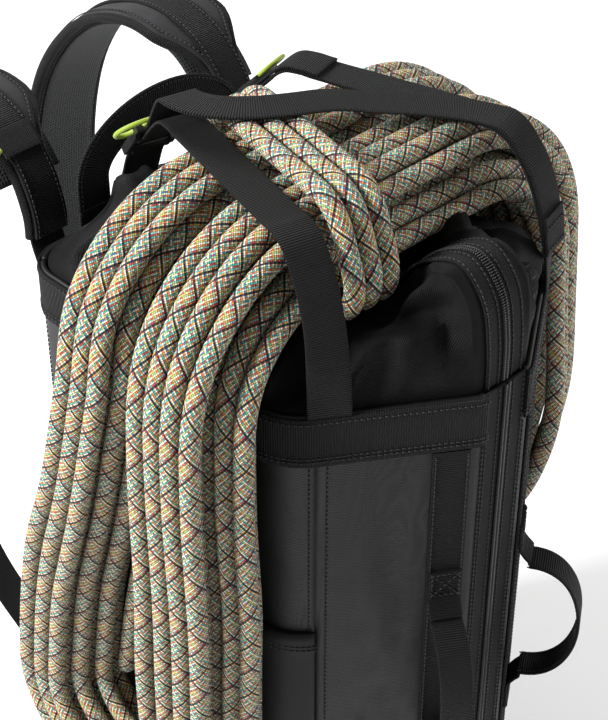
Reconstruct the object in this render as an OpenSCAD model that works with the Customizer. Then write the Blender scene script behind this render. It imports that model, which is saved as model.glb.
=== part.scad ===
// Rope storage bag: a five-sided tarpaulin rucksack for arborist rope.
// Origin at the middle of the base, +Z up, zip ridge at -Y, harness at +Y.

/* [Bag] */
// Width across the two flat sides
body_w = 230; // [215:1:260]
// Depth from the middle of the bag to the back panel
back_depth = 142; // [136:1:160]
// Depth from the middle of the bag to the zip ridge
ridge_depth = 142; // [136:1:160]
// How far in front of the middle the flat sides end
side_front = 78; // [70:1:86]
// Width of the flat ridge that carries the zip
ridge_w = 40; // [36:1:46]
// Height of the bag to its rim
body_h = 480; // [440:1:560]
// Thickness of the tarpaulin walls
wall = 3; // [2:0.5:4]
// Thickness of the base panel
base_t = 4; // [3:0.5:8]
// Corner radius at the back
back_r = 25; // [16:1:30]
// Corner radius where the sides turn to the front
front_r = 40; // [30:1:45]
// Corner radius at the edges of the zip ridge
ridge_r = 10; // [6:1:12]

/* [Rim and collar] */
// Height of the webbing band sewn round the rim
band_h = 34; // [25:1:45]
// Thickness of the rim band
band_t = 2; // [1.5:0.1:3]
// Cloth thickness of the collar
collar_t = 1.6; // [1.2:0.1:2.5]
// Height of the collar crest above the rim at the zip
crest_front = 71; // [64:1:76]
// Height of the collar crest above the rim at the sides
crest_side = 32; // [26:1:32]
// Height of the collar above the rim at the back
crest_back = 47; // [40:1:50]

/* [Pocket] */
// Height of the side pocket's mouth
pocket_h = 318; // [240:1:360]
// Cloth thickness of the side pocket
pocket_t = 2; // [1.5:0.1:3]

/* [Zip] */
// Width of the closed chain of teeth
chain_w = 6; // [4:0.5:8]
// How far the teeth stand proud of the tapes
chain_proud = 1.6; // [1:0.1:2.5]
// Length of the slider
slider_l = 24; // [16:1:30]
// Width of the slider
slider_w = 12; // [10:0.5:14]
// Height of the slider's middle when it is parked at the bottom
slider_z = 70; // [50:1:120]
// Length of the pull tab
pull_l = 28; // [20:1:40]

/* [Webbing] */
// Thickness of the webbing
web_t = 2; // [1.5:0.1:2.5]
// Width of the rope straps and their tabs
strap_w = 25; // [20:1:28]
// Width of the strips beside the zip and of the carry handles
strip_w = 22; // [18:1:26]
// Distance of the strips' middle from the edge of the zip ridge
strip_u = 16; // [16:1:24]
// Height of the carry handles' upper sewn ends
handle_top = 341; // [300:1:380]
// Distance between the sewn ends of a carry handle
handle_span = 130; // [110:1:160]
// How far a carry handle stands out
handle_out = 44; // [36:1:55]

/* [Harness] */
// Distance of each shoulder strap from the middle
shoulder_x = 82; // [82:1:86]
// Width of the padded shoulder straps
pad_w = 60; // [50:1:64]
// Thickness of the padding
pad_t = 10; // [7:0.5:12]
// Thickness of the spacer mesh on the inner face
mesh_t = 2; // [1.5:0.1:3]
// Width of the webbing at both ends of the shoulder straps
lower_w = 25; // [20:1:30]
// Half the distance between the ends of the grab handle
grab_x = 56; // [55:1:56]
// Rise of the grab handle
grab_rise = 64; // [55:1:80]

/* [Rope] */
// Diameter of the rope
rope_d = 12; // [10:0.5:12.5]
// Nested loops in one layer, less a half
rope_loops = 4.5; // [3.5:1:5.5]
// Layers of loops
rope_layers = 4; // [2:2:4]
// Distance between strands at the waist
waist_pitch = 12.7; // [12.7:0.1:13]
// Distance between strands at the bights
bight_pitch = 14.8; // [14.6:0.1:15.5]
// Distance between layers
layer_pitch = 13.2; // [13.2:0.1:14]
// Height above the base where the left bights start
left_bight_z = 200; // [150:1:260]
// Height above the base where the right bights start
right_bight_z = 320; // [300:1:360]

/* [Hidden] */
$fn = 48;

// Clearances
seat_gap = 0.05;
sewn_gap = 0.3;
swing_gap = 0.6;
hinge_gap = 0.4;

// Colours
tarp_colour = "#3b3f45";
web_colour = "#1c1d1f";
nylon_colour = "#141518";
plastic_colour = "#101112";
neon_colour = "#b9e227";
mesh_colour = "#5d6166";
rope_colour = "#4f8f95";

// Plain vector helpers
function unit(v) = v / norm(v);
function reversed(p) = [for (i = [len(p) - 1 : -1 : 0]) p[i]];
function heading(p, i) = unit(p[min(i + 1, len(p) - 1)] - p[max(i - 1, 0)]);
// Points of a path moved sideways, to its left where d is positive
function beside(p, d) = [for (i = [0 : len(p) - 1]) let (h = heading(p, i)) p[i] + d * [-h.y, h.x]];
function between(a, b, c, e, t) = 0.5 * (2 * b + (c - a) * t + (2 * a - 5 * b + 4 * c - e) * t * t
    + (3 * b - a - 3 * c + e) * t * t * t);
// Smooth curve through a few points
function smooth(p, n = 4) = [
    for (i = [0 : len(p) - 2]) for (k = [0 : n - 1])
        between(p[max(i - 1, 0)], p[i], p[i + 1], p[min(i + 2, len(p) - 1)], k / n),
    p[len(p) - 1]];

// Rounded outline of the bag
arc_n = 6;
arc_pts = arc_n + 1;
ring_n = 6 * arc_pts;
radii = [back_r, front_r, ridge_r, ridge_r, front_r, back_r];
function plan_corners(half, back, side, ridge) = [
    [-half, back], [-half, -side], [-ridge_w / 2, -ridge],
    [ridge_w / 2, -ridge], [half, -side], [half, back]];
function fillet(a, b, c, r, d) =
    let (e1 = unit(b - a), e2 = unit(c - b))
    let (turn = atan2(e1.x * e2.y - e1.y * e2.x, e1 * e2))
    let (first = atan2(-e1.x, e1.y))
    let (middle = b + unit(unit(a - b) + unit(c - b)) * r / cos(turn / 2))
    [for (k = [0 : arc_n]) let (q = first + turn * k / arc_n) middle + (r + d) * [cos(q), sin(q)]];
function outline(c, d = 0) = [
    for (i = [0 : 5]) each fillet(c[(i + 5) % 6], c[i], c[(i + 1) % 6], radii[i], d)];
bag_corners = plan_corners(body_w / 2, back_depth, side_front, ridge_depth);
outer_line = outline(bag_corners);
inner_line = outline(bag_corners, -wall);
band_line = outline(bag_corners, band_t + seat_gap);
band_seat = outline(bag_corners, seat_gap);

// Seams of the panels, as places on the outline
seam_back_left = 3;
seam_front_left = 2 * arc_pts - 1;
seam_ridge_left = 3 * arc_pts - 1;
seam_ridge_right = 3 * arc_pts;
seam_front_right = 4 * arc_pts;
seam_back_right = 5 * arc_pts + 3;

// Left front panel: from the ridge edge outwards, and its outward normal
ridge_edge = bag_corners[2];
panel_dir = unit(bag_corners[1] - bag_corners[2]);
panel_normal = [-panel_dir.y, panel_dir.x];
panel_angle = atan2(panel_normal.y, panel_normal.x);

// A slice of wall between two places on the outline
module wall_slice(outside, inside, from, to, low, high) {
    places = [for (i = [from : to]) i % ring_n];
    translate([0, 0, low])
        linear_extrude(high - low)
            polygon(concat([for (i = places) outside[i]], [for (i = reversed(places)) inside[i]]));
}

// A flat ribbon along a path of its own plane, d to the left of it
module ribbon(path, t, w, d = 0) {
    linear_extrude(w, center = true)
        polygon(concat(beside(path, d + t / 2), reversed(beside(path, d - t / 2))));
}

// Places a drawing of Y and Z at one X
module at_x(x) {
    translate([x, 0, 0])
        rotate([90, 0, 90])
            children();
}

// Left part or its mirror image
module sided(side) {
    mirror([side > 0 ? 1 : 0, 0, 0])
        children();
}

// Closed skin over rings of points, round in both directions
module ring_skin(rings) {
    n = len(rings[0]);
    m = len(rings);
    points = [for (r = rings) each r];
    faces = [for (j = [0 : m - 1]) for (i = [0 : n - 1])
        let (a = j * n + i, b = j * n + (i + 1) % n)
        let (c = ((j + 1) % m) * n + (i + 1) % n, e = ((j + 1) % m) * n + i)
        each [[a, c, b], [a, e, c]]];
    polyhedron(points, faces);
}

// Tube of rings with flat ends
module capped_tube(rings) {
    n = len(rings[0]);
    m = len(rings);
    points = [for (r = rings) each r];
    sides = [for (j = [0 : m - 2]) for (i = [0 : n - 1])
        let (a = j * n + i, b = j * n + (i + 1) % n)
        let (c = (j + 1) * n + (i + 1) % n, e = (j + 1) * n + i)
        each [[a, c, b], [a, e, c]]];
    first = [for (i = [1 : n - 2]) [0, i, i + 1]];
    last = [for (i = [1 : n - 2]) [(m - 1) * n, (m - 1) * n + i + 1, (m - 1) * n + i]];
    polyhedron(points, concat(sides, first, last));
}

// Tarpaulin panels
module base_panel() {
    color(tarp_colour)
        linear_extrude(base_t)
            polygon(outer_line);
}
module panel(from, to) {
    color(tarp_colour)
        wall_slice(outer_line, inner_line, from, to, base_t, body_h);
}
module back_panel() {
    panel(seam_back_right, ring_n + seam_back_left);
}
module side_panel_left() {
    panel(seam_back_left, seam_front_left);
}
module front_panel_left() {
    panel(seam_front_left, seam_ridge_left);
}
module front_panel_right() {
    panel(seam_ridge_right, seam_front_right);
}
module side_panel_right() {
    panel(seam_front_right, seam_back_right);
}

// Pocket of a second layer of cloth on the left side and its front corner
module side_pocket() {
    pocket_line = outline(bag_corners, pocket_t + seat_gap);
    color(tarp_colour)
        wall_slice(pocket_line, band_seat, arc_pts - 1, seam_front_left, base_t, pocket_h);
}

// Webbing band round the rim, open where the zip passes
module rim_band() {
    color(web_colour)
        wall_slice(band_line, band_seat, seam_ridge_right, ring_n + seam_ridge_left,
            body_h - band_h, body_h);
}

// Thin collar gathered in from the rim to the mouth.
// Each step holds its inset at the sides, back and zip, and its share of the crest there.
collar_foot = 8;
collar_inset = wall + 0.2;
collar_steps = [
    [0, 0, 0, 0.02, 0.02, 0.02],
    [2, 6, 1, 0.18, 0.42, 0.32],
    [13, 15, 7, 0.6, 0.79, 0.64],
    [29, 27, 25, 0.88, 1, 0.89],
    [45, 52, 52, 0.98, 0.8, 0.72],
    [55, 77, 76, 0.93, 0.4, 0.62],
    [59, 97, 95, 0.87, 0.38, 0.58]];
// Share of the front and back heights at each place on the outline
turn_share = 0.25;
function front_share(i) =
    let (corner = floor(i / arc_pts), k = i % arc_pts)
    corner == 2 || corner == 3 ? 1
    : corner == 1 ? turn_share * max(0, k - 3) / 3
    : corner == 4 ? turn_share * max(0, arc_n - k - 3) / 3 : 0;
function back_share(i) =
    let (corner = floor(i / arc_pts), k = i % arc_pts)
    corner == 0 ? max(0, 1 - k / arc_n) : corner == 5 ? k / arc_n : 0;
function collar_ridge(s) = ridge_depth - 1.25 * collar_inset - s[2];
function collar_plan(s) = plan_corners(body_w / 2 - collar_inset - s[0], back_depth - collar_inset - s[1],
    side_front - 0.65 * collar_inset - 0.6 * s[2], collar_ridge(s));
function collar_z(s, i) =
    let (side_z = crest_side * s[3], front_z = crest_front * s[4], back_z = crest_back * s[5])
    body_h + side_z + (front_z - side_z) * front_share(i) + (back_z - side_z) * back_share(i);
function collar_ring(s, d) =
    let (line = outline(collar_plan(s), d))
    [for (i = [0 : ring_n - 1]) [line[i].x, line[i].y, collar_z(s, i) + d]];
function collar_foot_ring(d) =
    let (line = outline(collar_plan(collar_steps[0]), d))
    [for (p = line) [p.x, p.y, body_h - collar_foot]];
module collar() {
    outside = [for (s = collar_steps) collar_ring(s, 0)];
    inside = [for (s = reversed(collar_steps)) collar_ring(s, -collar_t)];
    color(nylon_colour)
        ring_skin(concat([collar_foot_ring(0)], outside, inside, [collar_foot_ring(-collar_t)]));
}

// Folded hem round the mouth, seated inside the collar's edge
hem_t = 2.4;
hem_h = 9;
module mouth_binding() {
    mouth = collar_steps[len(collar_steps) - 1];
    edge = outline(collar_plan(mouth), -collar_t - sewn_gap);
    hole = outline(collar_plan(mouth), -collar_t - sewn_gap - hem_t);
    low = body_h + crest_front * mouth[4] - hem_h;
    color(web_colour)
        translate([0, 0, low])
            linear_extrude(hem_h)
                difference() {
                    polygon(edge);
                    polygon(hole);
                }
}

// Zip up the ridge
chain_front = ridge_depth + chain_proud;
chain_split = 0.1;
module zip_tape(side) {
    tape = [outer_line[seam_ridge_left], inner_line[seam_ridge_left],
        [-chain_w / 2, -ridge_depth + wall], [-chain_w / 2, -ridge_depth]];
    color(nylon_colour)
        sided(side)
            translate([0, 0, base_t])
                linear_extrude(body_h - base_t)
                    polygon(tape);
}
module zip_teeth(side) {
    color(plastic_colour)
        sided(side)
            translate([-chain_w / 2, -chain_front, base_t])
                cube([chain_w / 2 - chain_split / 2, chain_proud + wall, body_h - base_t]);
}
module zip_tape_left() {
    zip_tape(-1);
}
module zip_tape_right() {
    zip_tape(1);
}
module zip_teeth_left() {
    zip_teeth(-1);
}
module zip_teeth_right() {
    zip_teeth(1);
}

// Slider that rides on the chain, with ears and a pin for the pull
slider_back = ridge_depth + hinge_gap;
slider_t = chain_proud + 3;
ear_t = 1.6;
ear_gap = 0.4;
pull_w = 5.2;
pull_t = 1.8;
pull_eye_r = 2.6;
pin_r = 1.1;
pin_y = -(slider_back + slider_t + pull_eye_r + 0.5);
pin_z = slider_z + slider_l / 4;
ear_x = pull_w / 2 + ear_gap;
module zip_slider() {
    front = slider_back + slider_t;
    color("silver") {
        difference() {
            translate([-slider_w / 2, -front, slider_z - slider_l / 2])
                cube([slider_w, slider_t, slider_l]);
            translate([-chain_w / 2 - hinge_gap, -chain_front - hinge_gap, slider_z - slider_l])
                cube([chain_w + 2 * hinge_gap, chain_front, 2 * slider_l]);
        }
        for (x = [-ear_x - ear_t, ear_x])
            translate([x, pin_y - pin_r - 1, pin_z - 3])
                cube([ear_t, -pin_y - front + pin_r + 1, 6]);
        translate([0, pin_y, pin_z])
            rotate([0, 90, 0])
                cylinder(r = pin_r, h = 2 * ear_x + ear_t, center = true);
    }
}
module zip_pull() {
    color("silver")
        translate([0, pin_y, pin_z])
            rotate([0, 90, 0])
                linear_extrude(pull_w, center = true)
                    difference() {
                        union() {
                            circle(pull_eye_r);
                            translate([0, -pull_t / 2])
                                square([pull_l, pull_t]);
                        }
                        circle(pin_r + hinge_gap);
                    }
}

// The zip goes on over the collar
zip_cloth_t = 1.4;
collar_profile = [for (s = collar_steps) [-collar_ridge(s), body_h + crest_front * s[4]]];
collar_tape_w = 12;
module collar_zip(side) {
    color(nylon_colour)
        at_x(side * (chain_w / 2 + collar_tape_w / 2))
            ribbon(collar_profile, zip_cloth_t, collar_tape_w, sewn_gap + zip_cloth_t / 2);
}
module collar_zip_left() {
    collar_zip(-1);
}
module collar_zip_right() {
    collar_zip(1);
}
module collar_teeth() {
    color(plastic_colour)
        at_x(0)
            ribbon(collar_profile, zip_cloth_t + chain_proud, chain_w - 2 * seat_gap,
                sewn_gap + (zip_cloth_t + chain_proud) / 2);
}

// Places a drawing on the left front panel: X is outwards, Z is up
module on_front(u) {
    at = ridge_edge + panel_dir * u;
    translate([at.x, at.y, 0])
        rotate([0, 0, panel_angle])
            children();
}
// The same for a drawing of outward distance and height
module front_drawing(u) {
    on_front(u)
        rotate([90, 0, 0])
            children();
}

// Webbing strips beside the zip
module zip_strip(side) {
    color(web_colour)
        sided(side)
            on_front(strip_u)
                translate([seat_gap, -strip_w / 2, base_t])
                    cube([web_t, strip_w, body_h - band_h - base_t - sewn_gap]);
}
module zip_strip_left() {
    zip_strip(-1);
}
module zip_strip_right() {
    zip_strip(1);
}

// Carry handles: the sewn ends stay on the strip and the loop swings about the line between them
handle_w = strip_w - 2;
handle_low = handle_top - handle_span;
patch_h = 15;
patch_out = web_t + seat_gap + sewn_gap + web_t / 2;
handle_swing = 35;
handle_axis = patch_out + handle_w / 2 * sin(handle_swing) + web_t / 2;
loop_top = handle_top - patch_h - 2;
loop_low = handle_low + patch_h + 2;
module handle_patch(side) {
    upper = smooth([[patch_out, handle_top + patch_h], [patch_out, handle_top - patch_h / 3],
        [(patch_out + handle_axis) / 2, handle_top - patch_h * 0.75], [handle_axis, loop_top + 2],
        [handle_axis, loop_top]]);
    lower = [for (p = upper) [p.x, handle_top + handle_low - p.y]];
    color(web_colour)
        sided(side)
            front_drawing(strip_u) {
                ribbon(upper, web_t, handle_w);
                ribbon(lower, web_t, handle_w);
            }
}
module carry_handle(side) {
    high = loop_top - swing_gap - web_t / 2;
    low = loop_low + swing_gap + web_t / 2;
    steps = 16;
    loop = [for (k = [0 : steps])
        let (a = 180 * k / steps)
        [handle_axis + (handle_out - handle_axis) * sin(a), low + (high - low) * (1 + cos(a)) / 2]];
    color(web_colour)
        sided(side)
            front_drawing(strip_u)
                ribbon(loop, web_t, handle_w);
}
module handle_patch_left() {
    handle_patch(-1);
}
module handle_patch_right() {
    handle_patch(1);
}
module carry_handle_left() {
    carry_handle(-1);
}
module carry_handle_right() {
    carry_handle(1);
}

// Rope hank draped over the collar, in the frame that its straps also follow
arc_rise = -8;
arc_r = 60;
rope_clear = 3;
drape_x = body_w / 2 + band_t + rope_clear + rope_d / 2 - arc_r;
drape_z = body_h + arc_rise;
rope_top = drape_z + arc_r + (rope_layers - 1) * layer_pitch + rope_d / 2;

// Each rope strap lies in an upright plane from the front corner to the back rim.
// Drawings there hold the distance from the front end and the height.
strap_u = 86;
strap_back_x = 28;
strap_foot = ridge_edge + panel_dir * strap_u;
strap_dir = unit([-strap_back_x, back_depth] - strap_foot);
strap_angle = atan2(strap_dir.y, strap_dir.x);
strap_len = norm([-strap_back_x, back_depth] - strap_foot);
strap_z = rope_top + sewn_gap + web_t / 2;
module strap_plane(side) {
    sided(side)
        translate([strap_foot.x, strap_foot.y, 0])
            rotate([0, 0, strap_angle])
                rotate([90, 0, 0])
                    children();
}
// Room taken by the bag and its rim band, for what is sewn against it
module rim_room() {
    linear_extrude(body_h + sewn_gap)
        polygon(outline(bag_corners, band_t + 3 * seat_gap));
}

// Ladder lock: the tab bar is its hinge, and the lip lifts away from the rope
lock_at = [strap_len - 29, body_h + 60];
lock_angle = 132;
turn_bar = 19;
bar_r = 2;
eye_r = bar_r + hinge_gap + web_t;
lip_end = 31;
plate_t = 3;
plate_gap = 0.7;
lock_w = strap_w + 2 * plate_gap;
// A point of the lock's own drawing in the strap's plane, the second value towards the rope
function lock_point(along, inward) = lock_at + along * [cos(lock_angle), sin(lock_angle)]
    + inward * [-sin(lock_angle), cos(lock_angle)];
module lock_drawing(side) {
    strap_plane(side)
        translate(lock_at)
            rotate(lock_angle)
                children();
}
module ladder_lock(side) {
    plate = [[-4, 2.6], [23, 2.6], [26, 1], [lip_end, 1], [lip_end, -3.5], [24, -3.2], [-4, -2.6]];
    lip = [[25.5, 1], [lip_end, 1], [lip_end, -3.5], [25.5, -3.2]];
    color(plastic_colour)
        lock_drawing(side) {
            for (z = [-lock_w / 2 - plate_t, lock_w / 2])
                translate([0, 0, z])
                    linear_extrude(plate_t)
                        polygon(plate);
            for (x = [0, turn_bar])
                translate([x, 0, 0])
                    cylinder(r = bar_r, h = lock_w + plate_t, center = true);
            linear_extrude(lock_w + plate_t, center = true)
                polygon(lip);
        }
}
module strap_turn(side) {
    color(web_colour)
        lock_drawing(side)
            translate([turn_bar, 0, 0])
                linear_extrude(strap_w, center = true)
                    difference() {
                        circle(bar_r + seat_gap + web_t);
                        circle(bar_r + seat_gap);
                    }
}
tab_foot = strap_len + band_t + web_t + strap_w / 2 * strap_dir.x + sewn_gap;
module strap_tab(side) {
    first = [8, -12];
    leave = atan2(first.y, first.x);
    half_gap = asin(web_t / 2 / eye_r);
    eye_steps = 28;
    eye = [for (k = [0 : eye_steps])
        let (a = leave + half_gap + (360 - 2 * half_gap) * k / eye_steps)
        lock_at + eye_r * [cos(a), sin(a)]];
    path = smooth([lock_at + (eye_r + sewn_gap) * unit(first), lock_at + first,
        [strap_len - 12, body_h + 30], [strap_len, body_h + 15], [strap_len + 6, body_h + 1], [tab_foot, body_h - 14],
        [tab_foot, body_h - 30]]);
    color(web_colour)
        difference() {
            strap_plane(side)
                linear_extrude(strap_w, center = true)
                    difference() {
                        polygon(concat(eye, beside(path, -web_t / 2), reversed(beside(path, web_t / 2))));
                        translate(lock_at)
                            circle(bar_r + hinge_gap);
                    }
            rim_room();
        }
}
module ladder_lock_left() {
    ladder_lock(-1);
}
module ladder_lock_right() {
    ladder_lock(1);
}
module strap_turn_left() {
    strap_turn(-1);
}
module strap_turn_right() {
    strap_turn(1);
}
module strap_tab_left() {
    strap_tab(-1);
}
module strap_tab_right() {
    strap_tab(1);
}

// Rope strap from the front rim over the rope to its lock
strap_in = 3.6;
strap_line = smooth([[-3, body_h - 22], [-3, body_h + 4], [-1.5, body_h + 18], [4, strap_z - 47],
    [11, strap_z - 27], [19, strap_z - 14], [28, strap_z - 4], [40, strap_z + 0.4], [52, strap_z],
    [100, strap_z], [150, strap_z], [163, strap_z + 0.4], [175, strap_z - 2],
    lock_point(36, strap_in), lock_point(24, strap_in)]);
module rope_strap(side) {
    color(web_colour)
        difference() {
            strap_plane(side)
                ribbon(strap_line, web_t, strap_w);
            rim_room();
        }
}
module rope_strap_left() {
    rope_strap(-1);
}
module rope_strap_right() {
    rope_strap(1);
}

// Free tails of the straps: each starts past its lock and lies on its own strap.
// The left one then crosses the rope and lies down the front of the right strap.
tail_z = strap_z + web_t + sewn_gap;
tail_lift = web_t + sewn_gap;
tail_turn = 140;
tail_cross = 62;
tail_end_z = body_h + 24;
function strap_spot(along, side) =
    [-side * (strap_foot.x + strap_dir.x * along), strap_foot.y + strap_dir.y * along];
module tail_on_strap(side, from) {
    line = beside(strap_line, tail_lift);
    lock_reach = lip_end + 2 * swing_gap;
    part = [for (p = line) if (p.x > from && p.y > strap_z - 20 && norm(p - lock_at) > lock_reach) p];
    strap_plane(side)
        ribbon(concat([[from, tail_z]], part), web_t, strap_w);
}
module strap_tail_left() {
    start = strap_spot(tail_turn, -1);
    finish = strap_spot(tail_cross, 1);
    turn = atan2(finish.y - start.y, finish.x - start.x);
    trim = 0.2;
    end_steps = 12;
    end_turn = [for (k = [0 : end_steps]) 180 * k / end_steps];
    end_r = strap_w / 2 - trim;
    line = beside(strap_line, tail_lift);
    front = [for (p = line) if (p.x < tail_cross && p.y > tail_end_z) p];
    color(web_colour) {
        tail_on_strap(-1, tail_turn);
        translate([0, 0, tail_z - web_t / 2 + trim])
            linear_extrude(web_t - 2 * trim)
                polygon(concat(
                    [for (a = end_turn) start + end_r * [cos(turn + 90 + a), sin(turn + 90 + a)]],
                    [for (a = end_turn) finish + end_r * [cos(turn - 90 + a), sin(turn - 90 + a)]]));
        strap_plane(1)
            ribbon(concat(front, [[tail_cross, tail_z]]), web_t, strap_w);
    }
}
module strap_tail_right() {
    color(web_colour)
        tail_on_strap(1, tail_turn + 8);
}

// Neon cord loops: a line of distances out from the sewn end and along it
loop_d = 3;
loop_sides = 8;
function loop_ring(p, q) = [for (k = [0 : loop_sides - 1])
    let (a = 360 * k / loop_sides, across = loop_d / 2 * cos(a) * [-q.y, q.x])
    [p.x + across.x, p.y + across.y, loop_d / 2 * sin(a)]];
module neon_loop(points) {
    line = smooth(points, 3);
    color(neon_colour)
        rotate([-90, 0, 0])
            capped_tube([for (i = [0 : len(line) - 1]) loop_ring(line[i], heading(line, i))]);
}
// Pull loop on the lip of each lock, hanging off its outer side
module pull_loop(side) {
    lock_drawing(side)
        translate([lip_end + sewn_gap, -2.4, 0])
            neon_loop([[0, -3], [2, -3], [6, -1], [7.5, 7], [6.5, 15], [2, 24], [-4, 28], [-7, 26],
                [-4, 21.5], [2, 16.5], [2.6, 9], [2, 4], [0, 3.6]]);
}
module pull_loop_left() {
    pull_loop(-1);
}
module pull_loop_right() {
    pull_loop(1);
}

// Grab handle at the top of the back, hinged on a line through its two sewn ends
grab_y = back_depth + band_t + 2 * seat_gap + web_t / 2;
grab_z = body_h + 10;
grab_gap = 0.8;
grab_leg = 16;
module grab_anchors() {
    color(web_colour)
        for (x = [-grab_x, grab_x])
            translate([x - strap_w / 2, grab_y - web_t / 2, body_h - band_h])
                cube([strap_w, web_t, grab_z - body_h + band_h]);
}
module grab_handle() {
    low = grab_z + grab_gap;
    arch = grab_rise - strap_w / 2 - grab_leg;
    line = concat([[-grab_x, low]],
        [for (k = [0 : 20]) [-grab_x * cos(9 * k), low + grab_leg + arch * sin(9 * k)]], [[grab_x, low]]);
    color(web_colour)
        translate([0, grab_y, 0])
            rotate([90, 0, 0])
                ribbon(line, strap_w, web_t);
}

// Shoulder straps: sewn ends on the back panel carry an upright line that the strap swings about
anchor_y = back_depth + sewn_gap + web_t / 2;
shoulder_axis = back_depth + 20;
anchor_top = body_h - 4;
lower_z = 60;
shoulder_line = smooth([[shoulder_axis, anchor_top + swing_gap], [shoulder_axis + 1, anchor_top + 18],
    [shoulder_axis + 12, anchor_top + 42], [shoulder_axis + 38, anchor_top + 63],
    [shoulder_axis + 80, anchor_top + 68], [shoulder_axis + 132, anchor_top + 46],
    [shoulder_axis + 178, anchor_top - 8], [shoulder_axis + 202, anchor_top - 80],
    [shoulder_axis + 205, anchor_top - 160], [shoulder_axis + 188, anchor_top - 236],
    [shoulder_axis + 160, anchor_top - 290]]);
pad_end = shoulder_line[len(shoulder_line) - 1];
pad_down = heading(shoulder_line, len(shoulder_line) - 1);
adjuster_l = 26;
module shoulder_anchor(side) {
    line = smooth([[anchor_y, body_h - band_h - 52], [anchor_y, body_h - band_h - 20],
        [anchor_y + 3, body_h - band_h - 8], [shoulder_axis - 6, body_h - band_h + 10],
        [shoulder_axis, anchor_top - 5], [shoulder_axis, anchor_top]]);
    color(web_colour)
        at_x(side * shoulder_x)
            ribbon(line, web_t, lower_w);
}
// Strap outline seen from above: narrow at the sewn end
module strap_outline(side) {
    neck = lower_w / 2;
    half = pad_w / 2;
    far = shoulder_axis + 260;
    translate([side * shoulder_x, 0, 0])
        linear_extrude(body_h + 200)
            polygon([[-neck, back_depth], [-neck, shoulder_axis + 12], [-half, shoulder_axis + 52],
                [-half, far], [half, far], [half, shoulder_axis + 52], [neck, shoulder_axis + 12],
                [neck, back_depth]]);
}
module shoulder_strap(side) {
    color(web_colour)
        intersection() {
            at_x(side * shoulder_x)
                ribbon(shoulder_line, pad_t, pad_w);
            strap_outline(side);
        }
}
module shoulder_mesh(side) {
    inner = [for (i = [6 : len(shoulder_line) - 2]) shoulder_line[i]];
    color(mesh_colour)
        intersection() {
            at_x(side * shoulder_x)
                ribbon(inner, mesh_t, pad_w - 12, -pad_t / 2 - seat_gap - mesh_t / 2);
            strap_outline(side);
        }
}
// Webbing tab across the top of the left strap, with a neon loop at its outer end
chest_from = 9;
chest_to = 11;
chest_w = 28;
chest_x = -shoulder_x - 2;
module chest_tab() {
    line = [for (i = [chest_from : chest_to]) shoulder_line[i]];
    color(web_colour)
        at_x(chest_x)
            ribbon(line, web_t, chest_w, pad_t / 2 + sewn_gap + web_t / 2);
}
module chest_loop() {
    middle = (chest_from + chest_to) / 2;
    along = heading(shoulder_line, middle);
    at_x(chest_x - chest_w / 2 - sewn_gap)
        translate(shoulder_line[middle])
            rotate(atan2(along.y, along.x))
                translate([0, pad_t / 2 + sewn_gap + loop_d / 2, 0])
                    neon_loop([[-3, 0], [-3, 4], [-5.5, 10], [-4, 16], [0, 18], [4, 16], [5.5, 10],
                        [3, 4], [3, 0]]);
}
// Adjuster at the lower end of the padding
module strap_adjuster(side) {
    inside = lower_w + 2 * plate_gap;
    angle = atan2(pad_down.y, pad_down.x);
    color(plastic_colour)
        at_x(side * shoulder_x)
            translate(pad_end)
                rotate(angle) {
                    for (z = [-inside / 2 - plate_t, inside / 2])
                        translate([sewn_gap, -3, z])
                            cube([adjuster_l, 6, plate_t]);
                    for (x = [3.3, adjuster_l / 2, adjuster_l - 3])
                        translate([x, 0, 0])
                            cylinder(r = bar_r, h = inside + plate_t, center = true);
                }
}
// Webbing from the adjuster back to the foot of the bag
module lower_webbing(side) {
    start = pad_end + pad_down * (adjuster_l + sewn_gap);
    line = smooth([start, start + pad_down * 18, [shoulder_axis + 108, lower_z + 50],
        [shoulder_axis + 60, lower_z + 20], [shoulder_axis + 22, lower_z + 8],
        [shoulder_axis + 2, lower_z + 4], [shoulder_axis, lower_z + 1], [shoulder_axis, lower_z - 1]]);
    color(web_colour)
        at_x(side * shoulder_x)
            ribbon(line, web_t, lower_w);
}
module lower_anchor(side) {
    top = lower_z - 1 - swing_gap;
    line = smooth([[anchor_y, base_t + 2], [anchor_y, top - 30], [anchor_y + 3, top - 18],
        [shoulder_axis - 4, top - 8], [shoulder_axis, top - 3], [shoulder_axis, top]]);
    color(web_colour)
        at_x(side * shoulder_x)
            ribbon(line, web_t, lower_w);
}
module shoulder_anchor_left() {
    shoulder_anchor(-1);
}
module shoulder_anchor_right() {
    shoulder_anchor(1);
}
module shoulder_strap_left() {
    shoulder_strap(-1);
}
module shoulder_strap_right() {
    shoulder_strap(1);
}
module shoulder_mesh_left() {
    shoulder_mesh(-1);
}
module shoulder_mesh_right() {
    shoulder_mesh(1);
}
module strap_adjuster_left() {
    strap_adjuster(-1);
}
module strap_adjuster_right() {
    strap_adjuster(1);
}
module lower_webbing_left() {
    lower_webbing(-1);
}
module lower_webbing_right() {
    lower_webbing(1);
}
module lower_anchor_left() {
    lower_anchor(-1);
}
module lower_anchor_right() {
    lower_anchor(1);
}

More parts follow.
